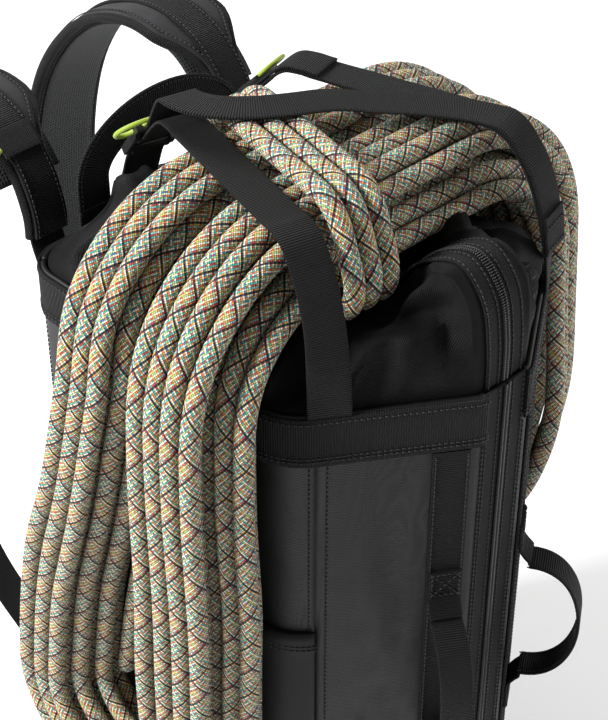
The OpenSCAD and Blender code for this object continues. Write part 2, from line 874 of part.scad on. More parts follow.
// Rope hank. Its loops spiral out and in, layer on layer, and hang down both sides of the bag.
// A turn is a run from left to right, a bight, a run back and a bight, in 24 stations.
stations = 24;
run_stations = 10;
bight_steps = 3;
upper_loops = rope_loops - 1;
waist_half = 4.4;
rim_half = 6;
bight_half = 3 * rope_d;
rim_pitch = 13.7;
rope_sides = 6;
waist_y = -4;
rim_y = -10;
left_y = 28;
right_y = 20;
layer_turns = rope_layers == 4 ? [rope_loops, rope_loops, upper_loops, upper_loops]
    : [rope_loops, rope_loops];
layer_ends = [for (i = 0, t = 0.25; i < rope_layers; t = t + layer_turns[i], i = i + 1)
    t + layer_turns[i]];
rope_turns = floor(layer_ends[rope_layers - 1]);
// Layer of a turn count, and how many strands out it lies
function layer_of(t) = len([for (i = [0 : rope_layers - 2]) if (t >= layer_ends[i]) i]);
function strand_out(t) =
    let (i = layer_of(t))
    i % 2 == 0 ? layer_turns[i] - (layer_ends[i] - t) : layer_ends[i] - t;
// Height in layers: a climb takes the whole run in which the spiral turns back
function layer_height(t) =
    let (half = floor(t * 2) / 2, share = min(1, (t - half) / (run_stations - 1) * stations))
    let (climbs = [for (i = [0 : rope_layers - 2]) if (floor(layer_ends[i] * 2) / 2 == half) i])
    len(climbs) > 0 ? climbs[0] + share : layer_of(t);
// Places along a run: heights, angles round the two arcs, width and sideways shift at each
function run_spot(k) =
    let (left = k < 5, j = left ? k : 9 - k)
    let (low_z = left ? left_bight_z : right_bight_z, low_y = left ? left_y : right_y)
    let (angle = j == 0 ? 0 : (j - 1) * 30, side = left ? -1 : 1)
    [side, angle, j == 0 ? low_z - drape_z : 0,
        j == 0 ? bight_half : rim_half + (waist_half - rim_half) * (j - 1) / 3,
        j == 0 ? bight_pitch : rim_pitch + (waist_pitch - rim_pitch) * (j - 1) / 3,
        j == 0 ? low_y : rim_y + (waist_y - rim_y) * (j - 1) / 3];
// Point and outward normal of the rope at station k of turn n
function rope_station(n, k) =
    let (half = floor(k / 12), step = k % 12, t = n + k / stations)
    let (outwards = strand_out(t), high = layer_height(t) * layer_pitch)
    let (sign = half == 0 ? 1 : -1)
    step < run_stations ? run_station(half == 0 ? step : 9 - step, sign, outwards, high)
    : bight_station(half, step - run_stations + 1, sign, outwards, high);
function run_station(k, sign, outwards, high) =
    let (s = run_spot(k), r = arc_r + high)
    let (x = s[0] * (drape_x + r * cos(s[1])), z = drape_z + s[2] + r * sin(s[1]))
    [[x, s[5] + sign * (s[3] + outwards * s[4]), z], [s[0] * cos(s[1]), 0, sin(s[1])]];
function bight_station(half, step, sign, outwards, high) =
    let (s = run_spot(half == 0 ? 9 : 0), r = s[3] + outwards * s[4], a = 180 * step / bight_steps)
    let (x = s[0] * (drape_x + arc_r + high))
    [[x, s[5] + sign * r * cos(a), drape_z + s[2] - r * sin(a)], [s[0], 0, 0]];
// The rope starts and ends at the foot of a left-hand run
last_station = stations - bight_steps;
rope_path = [for (n = [0 : rope_turns - 1]) for (k = [0 : stations - 1])
    if (n < rope_turns - 1 || k <= last_station) rope_station(n, k)];
function rope_ring(i) =
    let (last = len(rope_path) - 1, p = rope_path[i][0])
    let (along = unit(rope_path[min(i + 1, last)][0] - rope_path[max(i - 1, 0)][0]))
    let (across = unit(cross(along, rope_path[i][1])), up = cross(across, along))
    [for (q = [0 : rope_sides - 1]) let (a = 360 * q / rope_sides)
        p + rope_d / 2 * (across * cos(a) + up * sin(a))];
// Distance from a point to a stretch of rope
function stretch_gap(p, a, b) =
    let (v = b - a, t = max(0, min(1, (p - a) * v / (v * v))))
    norm(p - a - t * v);
module rope() {
    n = len(rope_path);
    points = [for (s = rope_path) s[0]];
    gaps = [for (i = [0 : n - 1]) for (j = [0 : n - 2]) if (abs(i - j) > 4 && abs(i - j - 1) > 4)
        stretch_gap(points[i], points[j], points[j + 1])];
    lengths = [for (i = [1 : n - 1]) norm(points[i] - points[i - 1])];
    echo(rope_gap = min(gaps) - rope_d, rope_length = lengths * [for (i = lengths) 1]);
    color(rope_colour)
        capped_tube([for (i = [0 : n - 1]) rope_ring(i)]);
}

base_panel();
back_panel();
side_panel_left();
side_panel_right();
front_panel_left();
front_panel_right();
side_pocket();
rim_band();
collar();
mouth_binding();
zip_tape_left();
zip_tape_right();
zip_teeth_left();
zip_teeth_right();
zip_slider();
zip_pull();
collar_zip_left();
collar_zip_right();
collar_teeth();
zip_strip_left();
zip_strip_right();
handle_patch_left();
handle_patch_right();
carry_handle_left();
carry_handle_right();
rope_strap_left();
rope_strap_right();
strap_tab_left();
strap_tab_right();
ladder_lock_left();
ladder_lock_right();
strap_turn_left();
strap_turn_right();
pull_loop_left();
pull_loop_right();
strap_tail_left();
strap_tail_right();
grab_anchors();
grab_handle();
shoulder_anchor_left();
shoulder_anchor_right();
shoulder_strap_left();
shoulder_strap_right();
shoulder_mesh_left();
shoulder_mesh_right();
chest_tab();
chest_loop();
strap_adjuster_left();
strap_adjuster_right();
lower_webbing_left();
lower_webbing_right();
lower_anchor_left();
lower_anchor_right();
rope();
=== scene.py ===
import math

import bmesh
import bpy
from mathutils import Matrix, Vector, noise


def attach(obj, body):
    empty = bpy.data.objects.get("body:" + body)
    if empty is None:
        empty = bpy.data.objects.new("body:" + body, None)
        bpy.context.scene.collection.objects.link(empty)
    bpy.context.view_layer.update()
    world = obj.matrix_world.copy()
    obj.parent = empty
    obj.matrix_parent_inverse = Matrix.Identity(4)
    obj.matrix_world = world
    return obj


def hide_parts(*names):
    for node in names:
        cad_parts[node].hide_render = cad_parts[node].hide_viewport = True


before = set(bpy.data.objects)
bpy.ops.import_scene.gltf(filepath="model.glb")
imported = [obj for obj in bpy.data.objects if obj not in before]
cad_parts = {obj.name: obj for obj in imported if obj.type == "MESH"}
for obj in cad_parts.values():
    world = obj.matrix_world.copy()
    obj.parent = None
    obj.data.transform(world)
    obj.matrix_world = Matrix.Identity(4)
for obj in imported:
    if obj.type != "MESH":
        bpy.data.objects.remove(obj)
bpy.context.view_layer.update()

# View: a studio camera in front of the bag's left front corner, looking down on its open top.
# A long lens keeps the uprights nearly parallel.
view_target = Vector((-0.0191, -0.0019, 0.430))
view_azimuth = math.radians(-44.6)
view_elevation = math.radians(37.1)
view_distance = 1.112
view_from = view_target + view_distance * Vector((
    math.cos(view_elevation) * math.sin(view_azimuth),
    -math.cos(view_elevation) * math.cos(view_azimuth),
    math.sin(view_elevation)))
lens = bpy.data.cameras.new("studio_lens")
lens.sensor_fit = "VERTICAL"
lens.sensor_height = 24.0
lens.lens = 61.27
camera = bpy.data.objects.new("studio_camera", lens)
camera.location = view_from
camera.rotation_euler = (view_target - view_from).to_track_quat("-Z", "Y").to_euler()
bpy.context.scene.collection.objects.link(camera)
bpy.context.scene.camera = camera

# Rope: one 12 mm kernmantle climbing line, its polyester sheath braided from coloured yarns.
# It is flaked in nested loops, layer on layer, over the collar, and its bights hang down both sides.
rope_d = 0.012
drum_r, drum_x, drum_z = 0.060, 0.066, 0.472
layer_rise = 0.0132
bight_left, bight_right = 0.200, 0.320
loop_steps = 24
last_turn, last_step = 15, 21
layer_turns = [4.5, 4.5, 3.5, 3.5]
layer_ends = []
for turns in layer_turns:
    layer_ends.append((layer_ends[-1] if layer_ends else 0.25) + turns)


def layer_of(t):
    """The layer that the rope is in, t turns from its start."""
    return sum(1 for e in layer_ends[:-1] if t >= e)


def strand_out(t):
    """How many strands the rope lies out from the middle of its layer."""
    i = layer_of(t)
    return layer_turns[i] - (layer_ends[i] - t) if i % 2 == 0 else layer_ends[i] - t


def layer_height(t):
    """The layer, with the climb to the next one spread over half a turn."""
    half = math.floor(t * 2) / 2
    share = min(1.0, (t - half) / 9 * loop_steps)
    climbs = [i for i, e in enumerate(layer_ends[:-1]) if math.floor(e * 2) / 2 == half]
    return climbs[0] + share if climbs else layer_of(t)


def run_spot(k):
    """One of ten places from left to right: side, angle, drop, half gap, strand pitch and shift."""
    left = k < 5
    j = k if left else 9 - k
    side = -1 if left else 1
    if j == 0:
        bight, shift = (bight_left, 0.028) if left else (bight_right, 0.020)
        return side, 0.0, bight - drum_z, 0.036, 0.0148, shift
    s = (j - 1) / 3
    return side, math.radians(30 * (j - 1)), 0.0, 0.006 - 0.0016 * s, 0.0137 - 0.001 * s, 0.006 * s - 0.010


def rope_station(n, k):
    """The rope's place at one step of a turn: ten over the top, then two round the bight."""
    half, step = divmod(k, loop_steps // 2)
    t = n + k / loop_steps
    out = strand_out(t)
    high = layer_height(t) * layer_rise
    sign = 1 if half == 0 else -1
    if step < 10:
        side, angle, dz, wide, pitch, shift = run_spot(step if half == 0 else 9 - step)
        r = drum_r + high
        return Vector((side * (drum_x + r * math.cos(angle)), shift + sign * (wide + out * pitch),
                       drum_z + dz + r * math.sin(angle)))
    side, angle, dz, wide, pitch, shift = run_spot(9 if half == 0 else 0)
    r = wide + out * pitch
    a = math.pi * (step - 9) / 3
    return Vector((side * (drum_x + drum_r + high), shift + sign * r * math.cos(a),
                   drum_z + dz - r * math.sin(a)))


rope_stations = [rope_station(n, k) for n in range(last_turn + 1) for k in range(loop_steps)
                 if n < last_turn or k <= last_step]


def heading(line, i):
    """The direction of a line at one of its points."""
    return (line[min(i + 1, len(line) - 1)] - line[max(i - 1, 0)]).normalized()


def unit(t):
    """A number held between 0 and 1."""
    return min(1.0, max(0.0, t))


def eased_line(points, step, level_x=None):
    """Points about a step apart on a smooth curve through the given ones, level where x is level_x."""
    last = len(points) - 1
    heads = []
    for i in range(last + 1):
        heads.append(heading(points, i))
        if level_x and abs(abs(points[i].x) - level_x) < 1e-6:
            heads[i].z *= 0.2
            heads[i].normalize()
    line = []
    for i in range(last):
        a, b = points[i], points[i + 1]
        size = (b - a).length
        count = max(2, round(size / step))
        for q in range(count):
            t = q / count
            line.append(a * (2 * t ** 3 - 3 * t ** 2 + 1) + heads[i] * size * (t ** 3 - 2 * t ** 2 + t)
                        + b * (3 * t ** 2 - 2 * t ** 3) + heads[i + 1] * size * (t ** 3 - t ** 2))
    line.append(points[last].copy())
    return line


def new_piece(name, verts, faces, edges=(), uvs=()):
    """A smooth mesh as an object of its own; uvs hold a pair for each corner of each face."""
    mesh = bpy.data.meshes.new(name)
    mesh.from_pydata(verts, edges, faces)
    if uvs:
        mesh.uv_layers.new(name="along").data.foreach_set("uv", [x for uv in uvs for x in uv])
    mesh.polygons.foreach_set("use_smooth", [True] * len(mesh.polygons))
    piece = bpy.data.objects.new(name, mesh)
    bpy.context.scene.collection.objects.link(piece)
    return piece


def runs_of(line):
    """The length along a line at each of its points."""
    runs = [0.0]
    for a, b in zip(line, line[1:]):
        runs.append(runs[-1] + (b - a).length)
    return runs


def tube(name, rings, marks, runs, cap_marks):
    """A skin over rings of points, closed at its ends; its UV map is a mark and a length along."""
    count = len(rings[0])
    faces, uvs = [], []
    for i in range(len(rings) - 1):
        low, high = i * count, (i + 1) * count
        for s in range(count):
            n = (s + 1) % count
            faces.append((low + s, low + n, high + n, high + s))
            uvs += [(marks[s], runs[i]), (marks[s + 1], runs[i]),
                    (marks[s + 1], runs[i + 1]), (marks[s], runs[i + 1])]
    for ring, order in ((0, -1), (len(rings) - 1, 1)):
        faces.append([ring * count + s for s in range(count)][::order])
        uvs += [(mark, runs[ring]) for mark in cap_marks[::order]]
    return new_piece(name, [p for ring in rings for p in ring], faces, uvs=uvs)


def cord_mesh(name, line, diameter, sides):
    """A round cord along a line; its UV map has the turn around it."""
    rings = []
    up = Vector((0.1, 0.2, 1.0))
    turns = [2 * math.pi * s / sides for s in range(sides)]
    for i, p in enumerate(line):
        head = heading(line, i)
        up = (up - head * up.dot(head)).normalized()
        side = head.cross(up)
        rings.append([p + diameter / 2 * (side * math.cos(a) + up * math.sin(a)) for a in turns])
    return tube(name, rings, [s / sides for s in range(sides + 1)], runs_of(line), [0.5] * sides)


rope_wander, rope_sway = 0.0009, 0.0042
rope_line = eased_line(rope_stations, 0.0058, drum_x)
noise.seed_set(5)
for i, p in enumerate(rope_line):
    wander = noise.noise_vector(p * 14.0 + Vector((0.0, 0.0, i * 0.004)))
    p += Vector((0.0, wander.y, 0.3 * wander.z)) * rope_wander
    p.y += rope_sway * unit((0.48 - p.z) / 0.12) * noise.noise(p * 9.0)
rope = cord_mesh("rope_hank", rope_line, rope_d, 12)


def sum_node(tree, kind, a, b=0.0, c=0.0):
    """A Math node; each input is a number or another node's output."""
    node = tree.nodes.new("ShaderNodeMath")
    node.operation = kind
    for socket, value in zip(node.inputs, (a, b, c)):
        if isinstance(value, (int, float)):
            socket.default_value = value
        else:
            tree.links.new(value, socket)
    return node.outputs[0]


def mix_node(tree, factor, a, b):
    """A colour mix; each colour is a tuple or another node's output."""
    node = tree.nodes.new("ShaderNodeMix")
    node.data_type = "RGBA"
    for socket, value in ((node.inputs[0], factor), (node.inputs[6], a), (node.inputs[7], b)):
        if isinstance(value, tuple):
            socket.default_value = (*value, 1.0)
        elif isinstance(value, (int, float)):
            socket.default_value = value
        else:
            tree.links.new(value, socket)
    return node.outputs[2]


def new_finish(name, roughness, sheen=0.0, specular=0.5):
    """A material, with its tree and shader."""
    finish = bpy.data.materials.new(name)
    finish.use_nodes = True
    shader = finish.node_tree.nodes["Principled BSDF"]
    shader.inputs["Roughness"].default_value = roughness
    shader.inputs["Sheen Weight"].default_value = sheen
    shader.inputs["Specular IOR Level"].default_value = specular
    return finish, finish.node_tree, shader


def add_bump(tree, shader, height, strength, distance):
    """Relief on a finish, from a height."""
    bump = tree.nodes.new("ShaderNodeBump")
    bump.inputs["Strength"].default_value = strength
    bump.inputs["Distance"].default_value = distance
    tree.links.new(height, bump.inputs["Height"])
    tree.links.new(bump.outputs[0], shader.inputs["Normal"])


def along_parts(tree):
    """Both parts of the UV map that cords and strips carry."""
    place = tree.nodes.new("ShaderNodeUVMap")
    place.uv_map = "along"
    split = tree.nodes.new("ShaderNodeSeparateXYZ")
    tree.links.new(place.outputs[0], split.inputs[0])
    return split.outputs[0], split.outputs[1]


def dress(piece, finish, body, slot, *nodes):
    """Gives a piece its finish, the nodes that it stands for and the body that it goes with."""
    piece.data.materials.clear()
    piece.data.materials.append(finish)
    if nodes:
        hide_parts(*nodes)
    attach(piece, body)


# The sheath: two sets of 24 yarns wind against each other, one over one. Half of each set is in warm
# colours and half in cool ones, and a navy yarn between the halves draws diamonds along the rope.
rope_braid, tree, shader = new_finish("rope_braid", 0.75, 0.05, 0.3)
turn_part, length_part = along_parts(tree)
cream, yellow, lime = (0.86, 0.80, 0.63), (0.72, 0.48, 0.13), (0.36, 0.53, 0.17)
teal, sky, blue = (0.05, 0.38, 0.32), (0.26, 0.56, 0.54), (0.04, 0.16, 0.34)
orange, rust, navy = (0.72, 0.20, 0.05), (0.44, 0.06, 0.06), (0.004, 0.005, 0.016)
yarn_set = [navy, cream, orange, teal, cream, rust, yellow, lime, cream, orange, sky, rust,
            navy, cream, teal, orange, cream, blue, lime, cream, teal, rust, sky, yellow]
yarn_count = len(yarn_set)
yarn_pitch = 0.00175
around = sum_node(tree, "MULTIPLY", turn_part, yarn_count)
along = sum_node(tree, "DIVIDE", length_part, yarn_pitch)
left_yarn = sum_node(tree, "ADD", around, along)
right_yarn = sum_node(tree, "SUBTRACT", around, along)
left_count = sum_node(tree, "FLOOR", left_yarn)
right_count = sum_node(tree, "FLOOR", right_yarn)
left_over = sum_node(tree, "FLOORED_MODULO", sum_node(tree, "ADD", left_count, right_count), 2.0)
left_ahead = sum_node(tree, "MULTIPLY", left_over, sum_node(tree, "SUBTRACT", left_count, right_count))
shown = sum_node(tree, "FLOORED_MODULO", sum_node(tree, "ADD", right_count, left_ahead), yarn_count)
yarns = tree.nodes.new("ShaderNodeValToRGB")
yarns.color_ramp.interpolation = "CONSTANT"
stops = yarns.color_ramp.elements
while len(stops) < yarn_count:
    stops.new(1.0)
for i, colour in enumerate(yarn_set):
    stops[i].position = i / yarn_count
    stops[i].color = (*colour, 1.0)
tree.links.new(sum_node(tree, "DIVIDE", sum_node(tree, "ADD", shown, 0.5), yarn_count), yarns.inputs[0])
tracers = [sum_node(tree, "LESS_THAN", sum_node(tree, "FLOORED_MODULO", n, yarn_count / 2), 0.5)
           for n in (left_count, right_count)]
glimpse = sum_node(tree, "MULTIPLY", sum_node(tree, "MAXIMUM", *tracers), 0.9)
traced = mix_node(tree, glimpse, yarns.outputs[0], navy)
# The yarns' colour is multiplied darker towards the dips between their crowns: painted shade in the grooves
# of the braid.
yarn_height = sum_node(tree, "MULTIPLY", sum_node(tree, "PINGPONG", left_yarn, 0.5),
                       sum_node(tree, "PINGPONG", right_yarn, 0.5))
painted_groove_shade = sum_node(tree, "MULTIPLY_ADD", yarn_height, 5.0, 0.24)
shade = tree.nodes.new("ShaderNodeMix")
shade.data_type = "RGBA"
shade.blend_type = "MULTIPLY"
shade.inputs[0].default_value = 1.0
tree.links.new(traced, shade.inputs[6])
tree.links.new(painted_groove_shade, shade.inputs[7])
tree.links.new(shade.outputs[2], shader.inputs["Base Color"])
add_bump(tree, shader, yarn_height, 0.9, 0.0012)
dress(rope, rope_braid, "bag", "rope", "rope")

# Rope wraps: the rope's last metre or so goes three times round the hank where it lies on the bag,
# close beside the left strap, and is tucked in underneath.
hank_y = -0.004
wrap_bend = 0.0245
wrap_core = [(-0.0547, 0.5428), (0.0547, 0.5428), (0.0452, 0.5623), (-0.0452, 0.5623)]
wrap_turns = 3
wrap_pitch = 0.0132
wrap_ring = []
for i in range(len(wrap_core)):
    a, b, c = (Vector(wrap_core[(i + k) % len(wrap_core)]) for k in (-1, 0, 1))
    first = math.atan2(-(b - a).x, (b - a).y)
    turn = (math.atan2(-(c - b).x, (c - b).y) - first) % (2 * math.pi)
    for q in range(9):
        angle = first + turn * q / 8
        wrap_ring.append(b + wrap_bend * Vector((math.cos(angle), math.sin(angle))))
wrap_ring = [p for a, b in zip(wrap_ring, wrap_ring[1:] + wrap_ring[:1])
             for p in [a.lerp(b, q / max(1, round((b - a).length / 0.006)))
                       for q in range(max(1, round((b - a).length / 0.006)))]]


def wrap_left(y):
    """Where the first wrap lies across the bag, beside the left strap."""
    return -0.0496 + 0.2684 * y


bottom = min(range(len(wrap_ring)), key=lambda i: wrap_ring[i].y * 9 + abs(wrap_ring[i].x))
wrap_line = []
for i in range(wrap_turns * len(wrap_ring) - 6):
    p = wrap_ring[(bottom + i) % len(wrap_ring)]
    y = hank_y + p.x
    wrap_line.append(Vector((wrap_left(y) + wrap_pitch * i / len(wrap_ring), y, p.y)))
wraps = cord_mesh("rope_wraps", wrap_line, rope_d, 14)
dress(wraps, rope_braid, "bag", "rope")

# Bag body: five panels of coated polyester tarpaulin and a base, sewn edge to edge into a tall
# five-sided sack. Each panel hangs from the rim, so it dishes in a little between its seams.
bag_h = 0.480
bag_wall = 0.003
panel_foot = 0.004
panel_rows = 64
cloth_step = 0.007
half_wide, half_deep = 0.115, 0.142
ridge_half, side_front = 0.020, -0.078
bag_corners = [(-half_wide, half_deep), (-half_wide, side_front), (-ridge_half, -half_deep),
               (ridge_half, -half_deep), (half_wide, side_front), (half_wide, half_deep)]
corner_radii = [0.025, 0.040, 0.010, 0.010, 0.040, 0.025]
corner_steps = 12


def rounded_outline(corners, out=0.0):
    """The plan's corner arcs as one closed run of points, moved outwards."""
    run = []
    for i, r in enumerate(corner_radii):
        a, b, c = (Vector(corners[j % 6]) for j in (i + 5, i, i + 1))
        e1, e2 = (b - a).normalized(), (c - b).normalized()
        turn = math.atan2(e1.x * e2.y - e1.y * e2.x, e1.dot(e2))
        first = math.atan2(-e1.x, e1.y)
        middle = b + ((a - b).normalized() + (c - b).normalized()).normalized() * r / math.cos(turn / 2)
        for k in range(corner_steps + 1):
            q = first + turn * k / corner_steps
            run.append(middle + (r + out) * Vector((math.cos(q), math.sin(q))))
    return run


def evened(points, step):
    """A run of plan points with its long flats divided."""
    run = [points[0]]
    for a, b in zip(points, points[1:]):
        count = max(1, round((b - a).length / step))
        run += [a.lerp(b, q / count) for q in range(1, count + 1)]
    return run


def outline_slice(out, first, last, step):
    """Part of the bag's own outline, between two of its arc points."""
    ring = rounded_outline(bag_corners, out)
    return evened([ring[i % len(ring)] for i in range(first, last + 1)], step)


def faced_out(piece):
    """Turns every face of a closed piece outwards."""
    shape = bmesh.new()
    shape.from_mesh(piece.data)
    bmesh.ops.recalc_face_normals(shape, faces=shape.faces)
    shape.to_mesh(piece.data)
    shape.free()
    return piece


def plan_normals(run):
    """The direction outwards at each point of a run of the plan."""
    heads = [heading(run, i) for i in range(len(run))]
    return [Vector((head.y, -head.x)) for head in heads]


def solid_grid(name, outside, inside):
    """Closed sheet between two grids of points, which are rows of equal length."""
    rows, cols = len(outside), len(outside[0])
    verts = [p for row in outside for p in row] + [p for row in inside for p in row]
    half = rows * cols
    faces = []
    for r in range(rows - 1):
        for c in range(cols - 1):
            a, b = r * cols + c, r * cols + c + 1
            faces.append((a, b, b + cols, a + cols))
            faces.append((half + a, half + a + cols, half + b + cols, half + b))
    rim = list(range(cols)) + [r * cols + cols - 1 for r in range(1, rows)]
    rim += [(rows - 1) * cols + c for c in range(cols - 2, -1, -1)]
    rim += [r * cols for r in range(rows - 2, 0, -1)]
    for a, b in zip(rim, rim[1:] + rim[:1]):
        faces.append((b, a, half + a, half + b))
    return faced_out(new_piece(name, verts, faces))


def dish(s, z, seed, calm):
    """How far a panel point lies inside the flat panel; calm is small under what is sewn on it."""
    edge = math.sin(math.pi * s) ** 0.7
    hang = math.sin(math.pi * unit((z - panel_foot) / 0.450)) ** 0.5
    swell = 0.5 + 0.5 * noise.noise(Vector((s * 2.3 + seed, z * 9.0, seed)))
    fold = noise.noise(Vector((s * 2.4 - seed, z * 11.0 + s * 5.0, 7.0 + seed)))
    crease = (1.0 - abs(fold)) ** 6 - 0.25
    fine = max(0.0, noise.noise(Vector((s * 6.0 + seed, z * 34.0 - s * 9.0, 2.0 + seed)))) ** 2
    return edge * hang * calm * (0.0034 * swell + 0.0030 * crease + 0.0030 * fine)


arc_run = corner_steps + 1
bag_seams = {
    "side_panel_left": (6, 2 * arc_run - 1), "front_panel_left": (2 * arc_run - 1, 3 * arc_run - 1),
    "front_panel_right": (3 * arc_run, 4 * arc_run), "side_panel_right": (4 * arc_run, 5 * arc_run + 6),
    "back_panel": (5 * arc_run + 6, 6 * arc_run + 6)}
tarp_pieces = []
for seed, (panel, (first, last)) in enumerate(bag_seams.items()):
    outer = outline_slice(0.0, first, last, cloth_step)
    normals = plan_normals(outer)
    run_len = runs_of(outer)
    outside, inside = [], []
    for row in range(panel_rows + 1):
        z = panel_foot + (bag_h - panel_foot) * row / panel_rows
        outside.append([])
        inside.append([])
        for i, (p, normal) in enumerate(zip(outer, normals)):
            s = run_len[i] / run_len[-1]
            lip = 0.0006 * max(0.0, 1.0 - min(s, 1.0 - s) * run_len[-1] / 0.004)
            sewn = {"front_panel_left": 1.0 - s, "front_panel_right": s}.get(panel, 1.0) * run_len[-1]
            calm = min(1.0, max(0.1, (sewn - 0.028) / 0.020))
            at = p - normal * (dish(s, z, seed * 3.1, calm) + lip)
            outside[-1].append(Vector((at.x, at.y, z)))
            within = at - normal * bag_wall
            inside[-1].append(Vector((within.x, within.y, z)))
    piece = solid_grid("tarp_" + panel, outside, inside)
    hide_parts(panel)
    tarp_pieces.append(piece)

# The base is the same cloth, cut to the plan, with its edge turned up a little all round.
base_ring = evened(rounded_outline(bag_corners) + rounded_outline(bag_corners)[:1], 0.012)[:-1]
base = bmesh.new()
base_rows = []
for inset, z in ((0.0042, 0.0), (0.0012, 0.0007), (0.0, 0.002), (0.0, panel_foot)):
    base_rows.append([base.verts.new((p.x * (1 - inset / half_wide), p.y * (1 - inset / half_deep), z))
                      for p in base_ring])
for low, high in zip(base_rows, base_rows[1:]):
    for i in range(len(low)):
        j = (i + 1) % len(low)
        base.faces.new((low[i], low[j], high[j], high[i]))
base.faces.new(base_rows[0][::-1])
base.faces.new(base_rows[-1])
bmesh.ops.recalc_face_normals(base, faces=base.faces)
base_piece = new_piece("tarp_base_panel", [], [])
base.to_mesh(base_piece.data)
base.free()
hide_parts("base_panel")
tarp_pieces.append(base_piece)

# The pocket is a second layer of thinner black cloth on the left side and its front corner, open at
# its hemmed top edge.
pocket_rows = 48
pocket_h = 0.314
pocket_t = 0.0018
hem_from, hem_t = 0.302, 0.0007
pocket_sag = 0.0016
pocket_flat = outline_slice(0.0, corner_steps, 2 * arc_run - 1, cloth_step)
pocket_normals = plan_normals(pocket_flat)


def on_pocket(i, out, z):
    """A point of the pocket: along its run, off the panel and up."""
    p = pocket_flat[i] + pocket_normals[i] * out
    return Vector((p.x, p.y, z))


pocket_out, pocket_in = [], []
for row in range(pocket_rows + 1):
    z = panel_foot + pocket_h * row / pocket_rows
    pocket_out.append([])
    pocket_in.append([])
    for i in range(len(pocket_flat)):
        s = i / (len(pocket_flat) - 1)
        hem = hem_t if z > hem_from else 0.0
        sag = pocket_sag * math.sin(math.pi * s) * (0.5 + 0.5 * noise.noise(Vector((s * 5, z * 14, 3))))
        pocket_out[-1].append(on_pocket(i, pocket_t + hem + sag, z))
        pocket_in[-1].append(on_pocket(i, 0.00005, z))
pocket = solid_grid("nylon_side_pocket", pocket_out, pocket_in)


def speckle(tree, scale, detail=2.0, rough=0.5):
    """Noise in the piece's own space."""
    spot = tree.nodes.new("ShaderNodeTexCoord")
    field = tree.nodes.new("ShaderNodeTexNoise")
    for label, value in (("Scale", scale), ("Detail", detail), ("Roughness", rough)):
        field.inputs[label].default_value = value
    tree.links.new(spot.outputs["Object"], field.inputs["Vector"])
    return field.outputs[0]


def tint(tree, shader, share, dark, light):
    """Sets the colour between two tones of it."""
    tree.links.new(mix_node(tree, share, dark, light), shader.inputs["Base Color"])


pocket_cloth, tree, shader = new_finish("pocket_nylon", 0.6, 0.02, 0.2)
mottle = speckle(tree, 900.0)
tint(tree, shader, mottle, (0.003, 0.0031, 0.0034), (0.009, 0.0092, 0.0098))
add_bump(tree, shader, mottle, 0.3, 0.0003)
dress(pocket, pocket_cloth, "bag", "tarp", "side_pocket")

# Coating: a dark grey film over a woven scrim that prints through as a fine grid.


def own_axes(tree):
    """The three parts of a place in the piece's own space."""
    spot = tree.nodes.new("ShaderNodeTexCoord")
    axes = tree.nodes.new("ShaderNodeSeparateXYZ")
    tree.links.new(spot.outputs["Object"], axes.inputs[0])
    return axes.outputs[0], axes.outputs[1], axes.outputs[2]


def wave(tree, value, pitch):
    """A sine that comes back every pitch."""
    return sum_node(tree, "SINE", sum_node(tree, "MULTIPLY", value, 2 * math.pi / pitch))


tarp, tree, shader = new_finish("coated_tarp", 0.44, 0.0, 0.28)
scrim_pitch = 2 * math.pi / 5200.0
x_part, y_part, z_part = own_axes(tree)
flat_run = sum_node(tree, "ADD", sum_node(tree, "MULTIPLY", x_part, 0.8), y_part)
scrim = sum_node(tree, "MULTIPLY", wave(tree, flat_run, scrim_pitch), wave(tree, z_part, scrim_pitch))
cloud = speckle(tree, 26.0, 5.0)
tint(tree, shader, cloud, (0.0062, 0.0064, 0.0068), (0.0098, 0.0100, 0.0106))
tree.links.new(sum_node(tree, "MULTIPLY_ADD", cloud, 0.22, 0.36), shader.inputs["Roughness"])
add_bump(tree, shader, sum_node(tree, "MULTIPLY_ADD", cloud, 2.0, scrim), 0.35, 0.0003)
for piece in tarp_pieces:
    dress(piece, tarp, "bag", "tarp")

# Rim band: a wide strip of ribbed polyester webbing, sewn flat round the top of the panels.
# Its two ends stop at the zip.


def webbing_strip(name, line, across, width, thick, rows=5):
    """Flat woven strip along a line, rounded at its edges. Its UV map is metres across and along."""
    half = width / 2
    bow = thick / 2
    edge = min(bow, 0.0009)
    section = [(-half, 0.0), (-half + edge * 0.4, bow * 0.75)]
    section += [(-half + edge + (width - 2 * edge) * k / (rows - 1), bow) for k in range(rows)]
    section += [(half - edge * 0.4, bow * 0.75), (half, 0.0)]
    section += [(-u, -d) for u, d in section[1:-1]]
    rings = []
    for i, p in enumerate(line):
        head = heading(line, i)
        wide = across[i] if isinstance(across, list) else across
        wide = (wide - head * wide.dot(head)).normalized()
        normal = wide.cross(head)
        rings.append([p + wide * u + normal * d for u, d in section])
    marks = [u for u, d in section]
    piece = tube(name, rings, marks + marks[:1], runs_of(line), marks)
    for cap in (-1, -2):
        piece.data.polygons[cap].use_smooth = False
    return faced_out(piece)


def webbing_finish(name, dark, light, rib, sheen):
    """Woven webbing: ribs across the strip and a herringbone of warp yarns along it, its colour painted
    darker in the dips between them as shade.
    """
    finish, tree, shader = new_finish(name, 0.62, sheen, 0.16)
    across_part, along_part = along_parts(tree)
    ribs = wave(tree, along_part, rib)
    yarns = wave(tree, across_part, 0.0011)
    crossed = sum_node(tree, "MULTIPLY", ribs, yarns)
    height = sum_node(tree, "MULTIPLY_ADD", crossed, 0.45, ribs)
    # The colour follows the ribs' height, darker in their troughs: painted shade. The wear noise laid over it
    # is random tone.
    painted_shade_tone = sum_node(tree, "MULTIPLY_ADD", height, 0.5, 0.5)
    wear = sum_node(tree, "MULTIPLY_ADD", speckle(tree, 70.0, 4.0), 0.9, 0.5)
    tint(tree, shader, sum_node(tree, "MULTIPLY", painted_shade_tone, wear), dark, light)
    add_bump(tree, shader, height, 1.0, 0.0008)
    return finish


